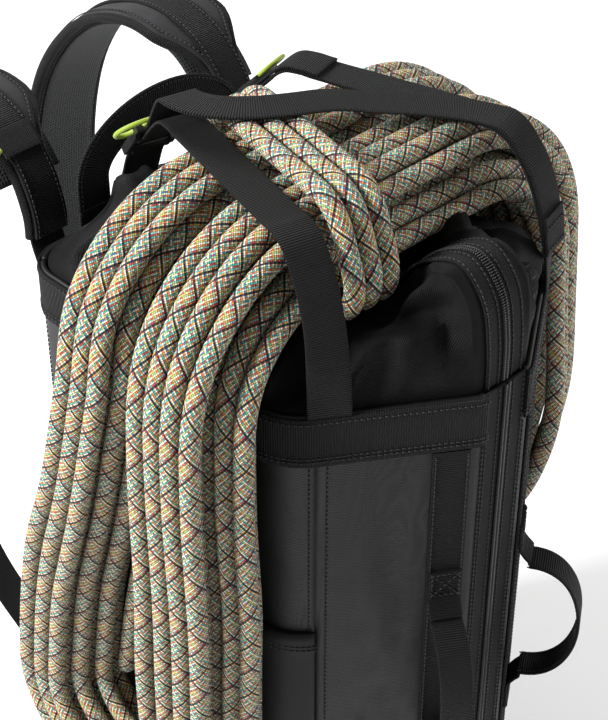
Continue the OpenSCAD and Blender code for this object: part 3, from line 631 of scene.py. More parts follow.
webbing = webbing_finish("black_webbing", (0.0005, 0.0006, 0.0007), (0.0096, 0.0099, 0.0105), 0.0014, 0.02)
band_t = 0.002
rim_span = (3 * arc_run, 9 * arc_run - 1)


def round_rim(out, z):
    """A line round the rim from the zip to the zip again."""
    return [Vector((p.x, p.y, z)) for p in outline_slice(out, *rim_span, 0.009)]


rim_band = webbing_strip("webbing_rim_band", round_rim(0.00105, 0.463), Vector((0, 0, 1)), 0.034, band_t, 9)
dress(rim_band, webbing, "bag", "webbing", "rim_band")

# Stitching: bonded black thread in short raised stitches, laid in rows through the cloth.
# Every row on the bag is one run of the same small stitch, set out along its line.


def row_tree(name, form, settings, pivot):
    """A node tree that sets one small form side by side along lines."""
    tree = bpy.data.node_groups.new(name, "GeometryNodeTree")
    for label, kind in (("Lines", "Geometry"), ("Pitch", "Float"), ("Size", "Vector"),
                        ("Finish", "Material")):
        tree.interface.new_socket(label, in_out="INPUT", socket_type="NodeSocket" + kind)
    tree.interface.new_socket("Row", in_out="OUTPUT", socket_type="NodeSocketGeometry")
    nodes = {}
    for short, kind in (("start", "NodeGroupInput"), ("curve", "GeometryNodeMeshToCurve"),
                        ("spaced", "GeometryNodeCurveToPoints"), ("form", form),
                        ("sized", "GeometryNodeTransform"), ("turned", "FunctionNodeAlignRotationToVector"),
                        ("placed", "GeometryNodeInstanceOnPoints"), ("real", "GeometryNodeRealizeInstances"),
                        ("smooth", "GeometryNodeSetShadeSmooth"), ("finish", "GeometryNodeSetMaterial"),
                        ("end", "NodeGroupOutput")):
        nodes[short] = tree.nodes.new(kind)
        nodes[short].name = short
    nodes["spaced"].mode = "LENGTH"
    nodes["turned"].axis = "Z"
    nodes["turned"].pivot_axis = pivot
    for label, value in settings.items():
        nodes["form"].inputs[label].default_value = value
    for a, out, b, into in (("start", "Lines", "curve", "Mesh"), ("curve", "Curve", "spaced", "Curve"),
                            ("start", "Pitch", "spaced", "Length"), ("form", "Mesh", "sized", "Geometry"),
                            ("start", "Size", "sized", "Scale"), ("spaced", "Tangent", "turned", "Vector"),
                            ("spaced", "Points", "placed", "Points"),
                            ("sized", "Geometry", "placed", "Instance"),
                            ("turned", "Rotation", "placed", "Rotation"),
                            ("placed", "Instances", "real", "Geometry"),
                            ("real", "Geometry", "smooth", "Geometry"),
                            ("smooth", "Geometry", "finish", "Geometry"),
                            ("start", "Finish", "finish", "Material"), ("finish", "Geometry", "end", "Row")):
        tree.links.new(nodes[a].outputs[out], nodes[b].inputs[into])
    return tree


def settled(piece):
    """Keeps what a piece's modifiers make of it as its plain mesh."""
    ready = piece.evaluated_get(bpy.context.evaluated_depsgraph_get())
    result = bpy.data.meshes.new_from_object(ready)
    piece.modifiers.clear()
    piece.data = result
    return piece


def row_piece(name, lines, group, **values):
    """A piece made by a row tree along lines."""
    verts, edges = [], []
    for line in lines:
        edges += [(len(verts) + i, len(verts) + i + 1) for i in range(len(line) - 1)]
        verts += line
    piece = new_piece(name, verts, [], edges)
    growth = piece.modifiers.new("growth", "NODES")
    growth.node_group = group
    for item in group.interface.items_tree:
        if item.in_out == "INPUT" and item.name in values:
            growth[item.identifier] = values[item.name]
    return settled(piece)


stitching = row_tree("stitch_rows", "GeometryNodeMeshCylinder", {"Vertices": 6, "Depth": 1.0}, "AUTO")
stitching.nodes["form"].fill_type = "TRIANGLE_FAN"
stitch_pitch = 0.0034
stitch_size = (0.00045, 0.00045, stitch_pitch * 0.74)
thread, tree, shader = new_finish("bonded_thread", 0.5, 0.02, 0.3)
tint(tree, shader, speckle(tree, 2400.0), (0.005, 0.0052, 0.0056), (0.019, 0.0194, 0.0205))


def sew(name, lines, body):
    """Stitches along each line, as one piece that goes with a body."""
    piece = row_piece(name, lines, stitching, Pitch=stitch_pitch, Size=stitch_size, Finish=thread)
    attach(piece, body)


def upright(x, y, low, high, steps):
    """A line straight up."""
    return [Vector((x, y, low + (high - low) * q / steps)) for q in range(steps + 1)]


bag_rows = [round_rim(0.00215, z) for z in (0.4500, 0.4525, 0.4765)]
for first, last in bag_seams.values():
    seam = outline_slice(0.0001, first, last, cloth_step)
    for p in (seam[1], seam[-2]):
        bag_rows.append(upright(p.x, p.y, 0.012, 0.442, 40))
for z in (0.3045, 0.3075):
    bag_rows.append([on_pocket(i, 0.0027, z) for i in range(len(pocket_flat))])

# Collar: a tube of thin black woven nylon, sewn inside the rim and gathered in to the mouth.
# It stands up in soft folds where the rope and the straps press it down between them.
collar_steps = [
    (0.000, 0.000, 0.000, 0.02, 0.02, 0.02), (0.002, 0.006, 0.001, 0.18, 0.42, 0.32),
    (0.013, 0.015, 0.007, 0.60, 0.79, 0.64), (0.029, 0.027, 0.025, 0.88, 1.00, 0.89),
    (0.045, 0.052, 0.052, 0.98, 0.80, 0.72), (0.055, 0.077, 0.076, 0.93, 0.40, 0.62),
    (0.059, 0.097, 0.095, 0.87, 0.38, 0.58)]
crest = (0.032, 0.071, 0.047)
collar_girth = 0.86
collar_dents = [(0.30, -1.31, 0.035, 0.22, 0.09), (0.6, -1.02, 0.20, 0.58, 0.13),
                (0.5, -0.74, 0.10, 0.34, 0.20), (0.6, 0.55, 0.25, 0.35, 0.18)]


def collar_shares(i):
    """How far a plan point has the front's height, and the back's."""
    corner, k = divmod(i, arc_run)
    half_way = corner_steps / 2
    front = 1.0 if corner in (2, 3) else 0.0
    if corner == 1:
        front = 0.25 * max(0.0, k - half_way) / half_way
    if corner == 4:
        front = 0.25 * max(0.0, half_way - k) / half_way
    back = {0: 1 - k / corner_steps, 5: k / corner_steps}.get(corner, 0.0)
    return front, back


def collar_ring(step):
    """One ring of the collar: plan points with their heights, its flats divided."""
    side, back, ridge, s_side, s_front, s_back = step
    wide, rear, corner, front = 0.1118 - side, 0.1388 - back, -0.07592 + 0.6 * ridge, -0.138 + ridge
    plan = [(-wide, rear), (-wide, corner), (-ridge_half, front),
            (ridge_half, front), (wide, corner), (wide, rear)]
    ring = []
    for i, p in enumerate(rounded_outline(plan)):
        front, rear = collar_shares(i)
        z_side, z_front, z_back = crest[0] * s_side, crest[1] * s_front, crest[2] * s_back
        rise = z_side + (z_front - z_side) * front + (z_back - z_side) * rear
        ring.append(Vector((p.x, p.y, bag_h + rise)))
    full = []
    for i, p in enumerate(ring):
        q = ring[(i + 1) % len(ring)]
        gap = i % arc_run == corner_steps
        count = (30, 18, 8, 18, 30, 32)[i // arc_run] if gap else 1
        full += [p.lerp(q, c / count) for c in range(count)]
    return full


def collar_steps_between(t):
    """The collar's own seven steps, eased into each other; t counts steps."""
    i = min(int(t), len(collar_steps) - 2)
    f = t - i
    p = [collar_steps[max(0, min(len(collar_steps) - 1, i + k))] for k in (-1, 0, 1, 2)]
    return tuple(0.5 * (2 * b + (c - a) * f + (2 * a - 5 * b + 4 * c - e) * f * f
                        + (3 * b - a - 3 * c + e) * f ** 3) for a, b, c, e in zip(*p))


def eased(t):
    """A share from 0 to 1 with soft ends."""
    t = unit(t)
    return t * t * (3 - 2 * t)


collar_rows = [[Vector((p.x, p.y, bag_h - 0.008)) for p in collar_ring(collar_steps[0])]]
collar_count = 44
for row in range(collar_count + 1):
    t = (len(collar_steps) - 1) * row / collar_count
    collar_rows.append(collar_ring(collar_steps_between(t)))
pleat_deep, crease_deep, dent_deep = 0.0034, 0.0140, 0.020
fold_limit = 0.0045
pleat_count = 13.0
zip_half, zip_ease = 0.016, 0.012
wrap_room, press_reach, press_front, press_top = 0.007, 0.014, -0.088, 0.5120


def fold_depth(p, rise):
    """How far the cloth stands off its plain shape, in its pleats, creases and dents."""
    angle = math.atan2(p.y, abs(p.x))
    turn = Vector((p.x, p.y, 0.0)).normalized()
    bend = noise.noise(Vector((turn.x * 1.3, turn.y * 1.3, rise * 1.6 + 4.0)))
    pleat = math.sin(math.atan2(p.y, p.x) * pleat_count + 3.4 * bend + rise * 2.2)
    fold = noise.noise(Vector((turn.x * 3.2, turn.y * 3.2 + rise, rise * 1.8 + 9.0)))
    crease = (1.0 - abs(fold)) ** 6
    tilt = (angle + 1.15 - 0.9 * (rise - 0.36)) / 0.20
    pit = 0.95 * max(0.0, 1.0 - math.hypot(tilt, (rise - 0.36) / 0.115))
    for depth, at, wide, up, tall in collar_dents:
        pit += depth * math.exp(-((angle - at) / wide) ** 2 - ((rise - up) / tall) ** 2)
    zip_calm = unit((abs(p.x) - zip_half) / zip_ease) if p.y < 0 else 1.0
    swell = min(1.0, rise * 5.0) * min(1.0, (1.0 - min(1.0, rise)) * 5.0) * zip_calm
    deep = pleat_deep * pleat * (0.6 + 0.6 * bend) + crease_deep * (crease - 0.55) - dent_deep * pit
    return min(deep, fold_limit) * swell


def press_down(p):
    """How far the rope wraps press the cloth down."""
    beside = wrap_left(p.y) - wrap_room
    beyond = p.x - beside - wrap_turns * wrap_pitch - 2 * wrap_room
    aside = max(beside - p.x, beyond, press_front - p.y, 0.0)
    return eased(1.0 - aside / press_reach) * max(0.0, p.z - press_top)


folded = []
for r, row in enumerate(collar_rows):
    rise = max(0.0, (r - 2) / collar_count)
    folded.append([])
    for i, p in enumerate(row):
        across = row[(i + 1) % len(row)] - row[i - 1]
        upward = collar_rows[min(r + 1, len(collar_rows) - 1)][i] - collar_rows[max(r - 1, 0)][i]
        normal = across.cross(upward).normalized()
        normal = -normal if normal.dot(Vector((p.x, p.y, 0.05))) < 0 else normal
        place = p + normal * fold_depth(p, rise)
        place.z -= press_down(place)
        folded[-1].append(place)
cols = len(folded[0])
collar_faces, collar_uvs = [], []
for r in range(len(folded) - 1):
    for c in range(cols):
        places = ((c, r), (c + 1, r), (c + 1, r + 1), (c, r + 1))
        collar_faces.append([up * cols + across % cols for across, up in places])
        collar_uvs += [(collar_girth * across / cols, 0.0983 * up / len(folded)) for across, up in places]
collar = new_piece("nylon_collar", [p for row in folded for p in row], collar_faces, uvs=collar_uvs)
wall = collar.modifiers.new("wall", "SOLIDIFY")
wall.thickness = 0.0012
wall.offset = -1.0
settled(collar)
woven, tree, shader = new_finish("woven_nylon", 0.6, 0.01, 0.12)
picks = [wave(tree, part, 0.0013) for part in along_parts(tree)]
weave = sum_node(tree, "MULTIPLY", *picks)
crinkle = speckle(tree, 120.0, 8.0, 0.65)
# The colour is darker in the dips of the weave: painted shade. The crinkle noise added to it is random tone.
painted_shade_tone = sum_node(tree, "MULTIPLY_ADD", weave, 0.35, crinkle)
tint(tree, shader, painted_shade_tone, (0.0008, 0.0009, 0.0010), (0.0056, 0.0058, 0.0062))
add_bump(tree, shader, sum_node(tree, "MULTIPLY_ADD", weave, 0.5, crinkle), 0.6, 0.0006)
dress(collar, woven, "bag", "collar_nylon", "collar")

# Mouth binding: a folded webbing tape, sewn round the mouth of the collar. It closes the nylon's raw
# edge and keeps the opening in shape.
mouth_half = 0.0528
mouth_plan = [(-mouth_half, 0.0418), (-mouth_half, -0.01892), (-ridge_half, -0.043), (ridge_half, -0.043),
              (mouth_half, -0.01892), (mouth_half, 0.0418)]
mouth_ring = rounded_outline(mouth_plan, -0.0031)
mouth_line = [Vector((p.x, p.y, 0.5025)) for p in mouth_ring + mouth_ring[:2]]
binding = webbing_strip("webbing_mouth_binding", mouth_line, Vector((0, 0, 1)), 0.009, 0.0024, 4)
dress(binding, webbing, "bag", "webbing", "mouth_binding")


# Zip: a heavy coil zip up the flat ridge, its two woven tapes sewn between the front panels.
# Above the rim the same zip goes on over the collar.
tape_cloth = webbing_finish("zip_tape_cloth", (0.004, 0.0042, 0.0047), (0.014, 0.0145, 0.0155), 0.0009, 0.02)
coil_rows = row_tree("zip_coil_rows", "GeometryNodeMeshUVSphere", {"Segments": 8, "Rings": 5}, "X")
coil_pitch = 0.0016
coil_size = (0.0016, 0.0010, 0.00062)
coil_x, coil_y = 0.00135, -0.1426
zip_low, zip_high = 0.004, 0.480
tape_y, tape_thread_y = -0.14135, -0.1421
coil_plastic, tree, shader = new_finish("zip_coil_plastic", 0.38)
tint(tree, shader, speckle(tree, 900.0), (0.008, 0.008, 0.009), (0.02, 0.0205, 0.022))
to_right = Vector((1, 0, 0))
both_sides = ((-1, "left"), (1, "right"))


def lay_coil(name, lines, node):
    """Rows of coil along lines: small rounded teeth set side by side."""
    piece = row_piece(name, lines, coil_rows, Pitch=coil_pitch, Size=coil_size, Finish=coil_plastic)
    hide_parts(node)
    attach(piece, "bag")


for side, name in both_sides:
    up = upright(side * 0.0086, tape_y, zip_low, zip_high, 60)
    tape = webbing_strip("zip_tape_" + name, up, to_right, 0.0168, 0.0013, 6)
    dress(tape, tape_cloth, "bag", "zip_tape", "zip_tape_" + name)
    shift = coil_pitch / 4 * side
    coil_line = upright(side * coil_x, coil_y, zip_low + 0.001 + shift, zip_high - 0.001 + shift, 60)
    lay_coil("zip_coil_" + name, [coil_line], "zip_teeth_" + name)
    for x in (0.0058, 0.0150):
        bag_rows.append(upright(side * x, tape_thread_y, zip_low + 0.002, zip_high - 0.002, 60))

collar_zip_line = []
for q in range(61):
    step = collar_steps_between((len(collar_steps) - 1) * q / 60)
    collar_zip_line.append(Vector((0.0, -(0.138 - step[2]), bag_h + crest[1] * step[4])))


def off_collar(x, lift):
    """The collar's line at the zip, x to one side and lifted off the cloth."""
    line = []
    for i, p in enumerate(collar_zip_line):
        head = heading(collar_zip_line, i)
        line.append(Vector((x, p.y, p.z)) + Vector((0.0, -head.z, head.y)).normalized() * lift)
    return line


for side, name in both_sides:
    tape_line = off_collar(side * 0.0078, 0.0010)
    tape = webbing_strip("zip_collar_tape_" + name, tape_line, to_right, 0.0148, 0.0012, 6)
    dress(tape, tape_cloth, "bag", "zip_tape", "collar_zip_" + name)
    bag_rows += [off_collar(side * 0.0056, 0.0018), off_collar(side * 0.0135, 0.0018)]
lay_coil("zip_collar_coil", [off_collar(-coil_x, 0.0020), off_collar(coil_x, 0.0020)], "collar_teeth")

# Zip slider and pull: die-cast metal in black nickel. The slider's body straddles the coil, and the
# pull hangs on a pin between two ears.


def worked_copy(node, name, edge):
    """A node's own solid with its sharp edges rounded."""
    shape = bmesh.new()
    shape.from_mesh(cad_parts[node].data)
    bmesh.ops.remove_doubles(shape, verts=shape.verts, dist=1e-6)
    bmesh.ops.dissolve_limit(shape, angle_limit=math.radians(2), verts=shape.verts, edges=shape.edges)
    piece = new_piece(name, [], [])
    shape.to_mesh(piece.data)
    shape.free()
    rounding = piece.modifiers.new("rounding", "BEVEL")
    rounding.width = edge
    rounding.segments = 3
    rounding.limit_method = "ANGLE"
    rounding.angle_limit = math.radians(35)
    settled(piece)
    piece.data.polygons.foreach_set("use_smooth", [True] * len(piece.data.polygons))
    piece.modifiers.new("flat_faces", "WEIGHTED_NORMAL").keep_sharp = True
    return settled(piece)


black_nickel, tree, shader = new_finish("black_nickel", 0.3)
shader.inputs["Metallic"].default_value = 1.0
rub = speckle(tree, 20000.0, 6.0)
tint(tree, shader, rub, (0.05, 0.05, 0.053), (0.13, 0.13, 0.135))
tree.links.new(sum_node(tree, "MULTIPLY_ADD", rub, 0.25, 0.2), shader.inputs["Roughness"])
for node in ("zip_slider", "zip_pull"):
    dress(worked_copy(node, node + "_cast", 0.0005), black_nickel, node, "zip_metal", node)

# Zip strips and carry handles: a webbing strip is sewn up each side of the zip, and a second length
# stands out from it as a carrying loop between two sewn ends.
ridge_edge = Vector(bag_corners[2])
panel_dir = (Vector(bag_corners[1]) - ridge_edge).normalized()
panel_normal = Vector((-panel_dir.y, panel_dir.x))


def on_panel(side, u, out, z):
    """A point of a front panel: across it from the ridge, off it and up."""
    p = ridge_edge + panel_dir * u + panel_normal * out
    return Vector((-side * p.x, p.y, z))


def panel_across(side):
    """The direction across a front panel."""
    return Vector((-side * panel_dir.x, panel_dir.y, 0.0))


def catmull(points, count):
    """Smooth curve through a few points of a drawing."""
    line = []
    for i in range(len(points) - 1):
        a, b, c, e = (Vector(points[max(0, min(len(points) - 1, i + k))]) for k in (-1, 0, 1, 2))
        for q in range(count):
            t = q / count
            line.append(0.5 * (2 * b + (c - a) * t + (2 * a - 5 * b + 4 * c - e) * t * t
                               + (3 * b - a - 3 * c + e) * t ** 3))
    return line + [Vector(points[-1])]


def crossed_box(corners):
    """Rows of a sewn box with a cross in it."""
    return [corners + corners[:1], [corners[0], corners[2]], [corners[1], corners[3]]]


def merged(pieces, name):
    """Two pieces as one."""
    joined = bmesh.new()
    for piece in pieces:
        joined.from_mesh(piece.data)
    joined.to_mesh(pieces[0].data)
    joined.free()
    bpy.data.objects.remove(pieces[1])
    pieces[0].name = name
    return pieces[0]


strip_u = 0.016
strip_w = 0.022
strip_top = 0.4457
strip_thread = 0.0092
handle_w = 0.020
handle_thread = 0.0082
box_half, box_out = 0.008, 0.0046
patch_out = 0.00335
handle_axis = patch_out + handle_w / 2 * math.sin(math.radians(35)) + 0.001
handle_top, handle_low = 0.341, 0.211
loop_top, loop_low = 0.3224, 0.2296
handle_out = 0.044
end_shape = catmull([(patch_out, 0.356), (patch_out, 0.345), (patch_out, 0.336),
                     ((patch_out + handle_axis) / 2, 0.3300), (handle_axis, 0.326), (handle_axis, 0.3242)], 5)
for side, name in both_sides:
    wide = panel_across(side)
    strip_line = [on_panel(side, strip_u, 0.00105, z.z) for z in upright(0, 0, zip_low, strip_top, 50)]
    strip = webbing_strip("webbing_zip_strip_" + name, strip_line, wide, strip_w, band_t, 7)
    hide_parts("zip_strip_" + name)
    for u in (strip_u - strip_thread, strip_u + strip_thread):
        bag_rows.append([on_panel(side, u, 0.0022, z.z) for z in upright(0, 0, 0.006, 0.442, 50)])
    upper = [on_panel(side, strip_u, p.x, p.y) for p in end_shape]
    lower = [on_panel(side, strip_u, p.x, handle_top + handle_low - p.y) for p in end_shape]
    ends = [webbing_strip("end", line, wide, handle_w, band_t, 7) for line in (upper, lower)]
    patch = merged(ends, "webbing_handle_ends_" + name)
    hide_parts("handle_patch_" + name)
    for low, high in ((0.3385, 0.3545), (0.1975, 0.2135)):
        corners = ((-box_half, low), (box_half, low), (box_half, high), (-box_half, high))
        bag_rows += crossed_box([on_panel(side, strip_u + u, box_out, z) for u, z in corners])
    loop = []
    for k in range(41):
        a = math.pi * k / 40
        out = handle_axis + (handle_out - handle_axis) * math.sin(a) ** 0.85
        loop.append(on_panel(side, strip_u, out, loop_low + (loop_top - loop_low) * (1 + math.cos(a)) / 2))
    handle = webbing_strip("webbing_carry_handle_" + name, loop, wide, handle_w, band_t, 7)
    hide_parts("carry_handle_" + name)
    lifts = [wide.cross(heading(loop, i)).normalized() * 0.00105 * side for i in range(len(loop))]
    rows = [[p + wide * aside + lift for p, lift in zip(loop, lifts)]
            for aside in (-handle_thread, handle_thread)]
    sew("thread_carry_handle_" + name, rows, "carry_handle_" + name)
    for piece, body in ((strip, "bag"), (patch, "bag"), (handle, "carry_handle_" + name)):
        dress(piece, webbing, body, "webbing")

# Rope straps: two lengths of 25 mm webbing, caught under the rim band at the front, that go over the
# rope to a ladder lock at the back.
strap_w = 0.025
web_t = 0.002
sewn_half = 0.0095
strap_z = 0.5789
strap_foot = ridge_edge + panel_dir * 0.086
strap_end = Vector((-0.028, half_deep))
strap_dir = (strap_end - strap_foot).normalized()
strap_len = (strap_end - strap_foot).length
lock_at = Vector((strap_len - 0.029, 0.540))
lock_lean = math.radians(132)
lock_head = Vector((math.cos(lock_lean), math.sin(lock_lean)))
lock_in = Vector((-lock_head.y, lock_head.x))


def lock_point(along, inward):
    """A point of the ladder lock's own drawing, in the plane of its strap."""
    return lock_at + lock_head * along + lock_in * inward


def strap_point(side, p, aside=0.0):
    """A point of the strap's plane, and to the side of it."""
    x = strap_foot.x + strap_dir.x * p.x + strap_dir.y * aside
    return Vector((-side * x, strap_foot.y + strap_dir.y * p.x - strap_dir.x * aside, p.y))


def strap_across(side):
    """The direction across a rope strap."""
    return Vector((-side * strap_dir.y, -strap_dir.x, 0.0))


strap_shape = catmull([(-0.0012, 0.4804), (-0.0012, 0.4840), (-0.0008, 0.4920), (0.0000, 0.5050),
                       (0.0040, strap_z - 0.047), (0.0110, strap_z - 0.027), (0.0190, strap_z - 0.014),
                       (0.0280, strap_z - 0.004), (0.0400, strap_z + 0.0004), (0.0520, strap_z),
                       (0.1000, strap_z), (0.1500, strap_z), (0.1630, strap_z + 0.0004),
                       (0.1750, strap_z - 0.002), lock_point(0.036, 0.0036), lock_point(0.024, 0.0036)], 8)


def strap_piece(name, line, across, body, *nodes):
    """A length of the 25 mm webbing."""
    piece = webbing_strip("webbing_" + name, line, across, strap_w, web_t, 7)
    dress(piece, webbing, body, "webbing", *nodes)


def turned_across(line, low, high, side, foot):
    """The strip's width direction: along its seam at the foot, then square to the strap."""
    turned = []
    for p in line:
        turned.append(foot.lerp(strap_across(side), eased((p.z - low) / (high - low))))
    return turned


for side, name in both_sides:
    over = [strap_point(side, p) for p in strap_shape]
    foot = panel_across(side) * (1 if panel_across(side).dot(strap_across(side)) > 0 else -1)
    wide = turned_across(over, 0.484, 0.545, side, foot)
    strap_piece("rope_strap_" + name, over, wide, "bag", "rope_strap_" + name)

# Strap tabs: a short length of the same webbing goes round the lock's rear bar and down to the back of
# the rim, where it is sewn on.
tab_foot = strap_len + 0.0043 + strap_w / 2 * strap_dir.x
tab_way = Vector((0.008, -0.012)).normalized()
tab_from = math.atan2(tab_way.y, tab_way.x)
tab_eye = [lock_at + 0.0034 * Vector((math.cos(tab_from + a), math.sin(tab_from + a)))
           for a in (math.radians(q) for q in range(40, 341, 15))]
tab_down = catmull([lock_at + tab_way * 0.0060, lock_at + Vector((0.008, -0.012)),
                    (strap_len - 0.012, 0.510), (strap_len, 0.495), (strap_len + 0.006, 0.481),
                    (tab_foot, 0.466), (tab_foot, 0.450)], 6)


def sewn_foot(x, y, low, high):
    """Rows of the box that holds a webbing's end to the back of the bag."""
    corners = ((-1, low), (1, low), (1, high), (-1, high))
    return crossed_box([Vector((x + a * sewn_half, y, z)) for a, z in corners])


for side, name in both_sides:
    down = [strap_point(side, p) for p in tab_eye + tab_down]
    back = to_right * (1 if strap_across(side).x > 0 else -1)
    wide = turned_across(down, 0.470, 0.500, side, back)
    strap_piece("strap_tab_" + name, down, wide, "bag", "strap_tab_" + name)
    bag_rows += sewn_foot(down[-1].x, down[-1].y + 0.0012, 0.452, 0.466)

# Ladder locks: moulded black acetal buckles. The strap turns round the middle bar, and lifting the lip
# by its neon cord lets the strap slip.
acetal, tree, shader = new_finish("black_acetal", 0.42)
pores = speckle(tree, 1400.0, 3.0)
tint(tree, shader, pores, (0.006, 0.006, 0.0065), (0.014, 0.014, 0.015))
tree.links.new(sum_node(tree, "MULTIPLY_ADD", pores, 0.2, 0.3), shader.inputs["Roughness"])
add_bump(tree, shader, pores, 0.15, 0.0002)
for side, name in both_sides:
    body = "ladder_lock_" + name
    lock = worked_copy(body, "buckle_" + body, 0.0007)
    dress(lock, acetal, body, "buckle_plastic", body)
    turns = [math.radians(q) for q in range(0, 361, 15)]
    bar = [lock_point(0.019, 0.0) + 0.00305 * Vector((math.cos(a), math.sin(a))) for a in turns]
    round_bar = [strap_point(side, p) for p in bar]
    strap_piece("strap_turn_" + name, round_bar, strap_across(side), body, "strap_turn_" + name)

# Neon cords: 3 mm braided cord in neon yellow. A loop of it hangs from each lock's lip, to lift it by,
# and another from the tab on the left shoulder strap.
neon_d = 0.003
neon, tree, shader = new_finish("neon_cord", 0.55, 0.2)
turn_part, length_part = along_parts(tree)
ways = []
for way in ("ADD", "SUBTRACT"):
    wound = sum_node(tree, way, sum_node(tree, "MULTIPLY", turn_part, 6.0),
                     sum_node(tree, "DIVIDE", length_part, 0.0011))
    ways.append(sum_node(tree, "PINGPONG", wound, 0.5))
plait_relief_and_shade = sum_node(tree, "MULTIPLY", ways[0], ways[1])
# The cord's colour is darker in the grooves between its plaits: painted shade, on top of the same relief as a
# bump.
tint(tree, shader, sum_node(tree, "MULTIPLY", plait_relief_and_shade, 4.0), (0.16, 0.23, 0.008), (0.40, 0.54, 0.02))
add_bump(tree, shader, plait_relief_and_shade, 0.6, 0.0004)


def neon_loop(name, points, easing, node, body):
    """A loop of neon cord; easing rounds its bends."""
    line = catmull(points, 6)
    for turn in range(easing):
        middle = [(a + 2 * b + c) / 4 for a, b, c in zip(line, line[1:], line[2:])]
        line = line[:1] + middle + line[-1:]
    loop = cord_mesh(name, line, neon_d, 10)
    dress(loop, neon, body, "neon_cord", node)


loop_shape = [(0, -3), (3.4, -2.2), (6.6, 1.2), (8.2, 7), (7.4, 14.5), (4, 22), (-1.5, 27.8), (-8.5, 28.6),
              (-13, 24), (-11.5, 17.5), (-6, 13.6), (-0.6, 11.4), (2, 7.6), (0, 3.6)]
for side, name in both_sides:
    points = []
    for a, b in loop_shape:
        points.append(strap_point(side, lock_point(0.0313 + a / 1000, -0.0024), -b / 1000))
    neon_loop("cord_pull_loop_" + name, points, 40, "pull_loop_" + name, "ladder_lock_" + name)

# Strap tails: the free ends come back over the straps from the locks. The left tail crosses to the
# right strap and hangs down its front, where its folded end is sewn into a stop.
tail_z = 0.5812


def lifted(points, lift):
    """A drawing's line moved to the left of its heading."""
    heads = [heading(points, i) for i in range(len(points))]
    return [p + Vector((-head.y, head.x)) * lift for p, head in zip(points, heads)]


tail_shape = lifted(strap_shape, 0.0023)


def tail_start(side, from_x, rise):
    """The tail's own part, from near the lock forward over its strap, lifted towards its end."""
    part = []
    for p in reversed(tail_shape):
        if p.x > from_x and p.y > strap_z - 0.020 and (p - lock_at).length > 0.0322:
            part.append(strap_point(side, Vector((p.x, p.y + rise * eased((0.194 - p.x) / 0.028)))))
    return part


def swept_turn(start, corner, end, side, steps):
    """Points and width directions of a strip that swings round a corner in one wide curve."""
    points, wides = [], []
    for q in range(1, steps + 1):
        t = q / steps
        points.append(start.lerp(corner, t).lerp(corner.lerp(end, t), t))
        way = (corner - start).lerp(end - corner, t)
        wide = Vector((way.y, -way.x, 0.0)).normalized()
        wides.append(wide if wide.dot(side) > 0 else -wide)
    return points, wides


tail_rise = 0.0141
cross_share = (0.36, 0.62)
cross_steps = 10
left_part = tail_start(-1, 0.172, tail_rise)
front_part = [strap_point(1, p) for p in reversed(tail_shape) if p.x < 0.034 and p.y > 0.504]
left_turn = strap_point(-1, Vector((0.140, tail_z)))
right_turn = strap_point(1, Vector((0.062, tail_z)))
cross_side = Vector((0, 0, 1)).cross(right_turn - left_turn).normalized()
cross_side = cross_side if cross_side.dot(strap_across(-1)) > 0 else -cross_side
right_side = strap_across(1) if strap_across(1).dot(cross_side) > 0 else -strap_across(1)
tail_line = list(left_part)
tail_wide = [strap_across(-1)] * len(left_part)
lifted_turn = left_turn + Vector((0.0, 0.0, tail_rise))
cross_points = []
for q in range(cross_steps + 1):
    share = cross_share[0] + (cross_share[1] - cross_share[0]) * q / cross_steps
    rest = 1.0 - eased((share - 0.44) / 0.48)
    cross_points.append(left_turn.lerp(right_turn, share) + Vector((0.0, 0.0, tail_rise * rest)))
for points, wides in (swept_turn(left_part[-1], lifted_turn, cross_points[0], cross_side, 20),
                      (cross_points[1:], [cross_side] * cross_steps),
                      swept_turn(cross_points[-1], right_turn, front_part[0], right_side, 20),
                      (front_part[1:], [right_side] * len(front_part[1:]))):
    tail_line += points
    tail_wide += wides
strap_piece("strap_tail_left", tail_line, tail_wide, "bag", "strap_tail_left")
hem_line = [p + Vector((0.0, -0.0021, 0.0006)) for p in front_part[-8:]]
strap_piece("tail_hem", hem_line, right_side, "bag")
for k in (-2, -6):
    at = hem_line[k] + Vector((0.0, -0.0011, 0.0004))
    bag_rows.append([at + right_side * (0.0102 * w) for w in (-1, 0, 1)])
strap_piece("strap_tail_right", tail_start(1, 0.148, 0.0), strap_across(1), "bag", "strap_tail_right")

# Grab handle: a flat webbing loop at the top of the back, stitched along both edges. Two short ends,
# sewn to the rim with a crossed box each, hold it.
grab_y = 0.1451
grab_half = 0.056
anchors = []
for x in (-grab_half, grab_half):
    up = upright(x, grab_y, 0.446, 0.490, 12)
    anchors.append(webbing_strip("end", up, to_right, strap_w, web_t, 7))
    bag_rows += sewn_foot(x, grab_y + 0.0012, 0.450, 0.470)
dress(merged(anchors, "webbing_grab_anchors"), webbing, "bag", "webbing", "grab_anchors")
arch_foot, arch_spring = 0.4908, 0.5068
arch = upright(-grab_half, grab_y, arch_foot, arch_spring, 6)[:-1]
for q in range(41):
    a = math.pi - math.pi * q / 40
    arch.append(Vector((grab_half * math.cos(a), grab_y, arch_spring + 0.0355 * math.sin(a))))
arch += upright(grab_half, grab_y, arch_spring, arch_foot, 6)[1:]
arch_in = [Vector((head.z, 0.0, -head.x)) for head in (heading(arch, i) for i in range(len(arch)))]
strap_piece("grab_handle", arch, arch_in, "grab_handle", "grab_handle")
rows = [[p + d * (0.0098 * w) + Vector((0, 0.0011 * f, 0)) for p, d in zip(arch, arch_in)]
        for w in (-1, 1) for f in (-1, 1)]
sew("thread_grab_handle", rows, "grab_handle")

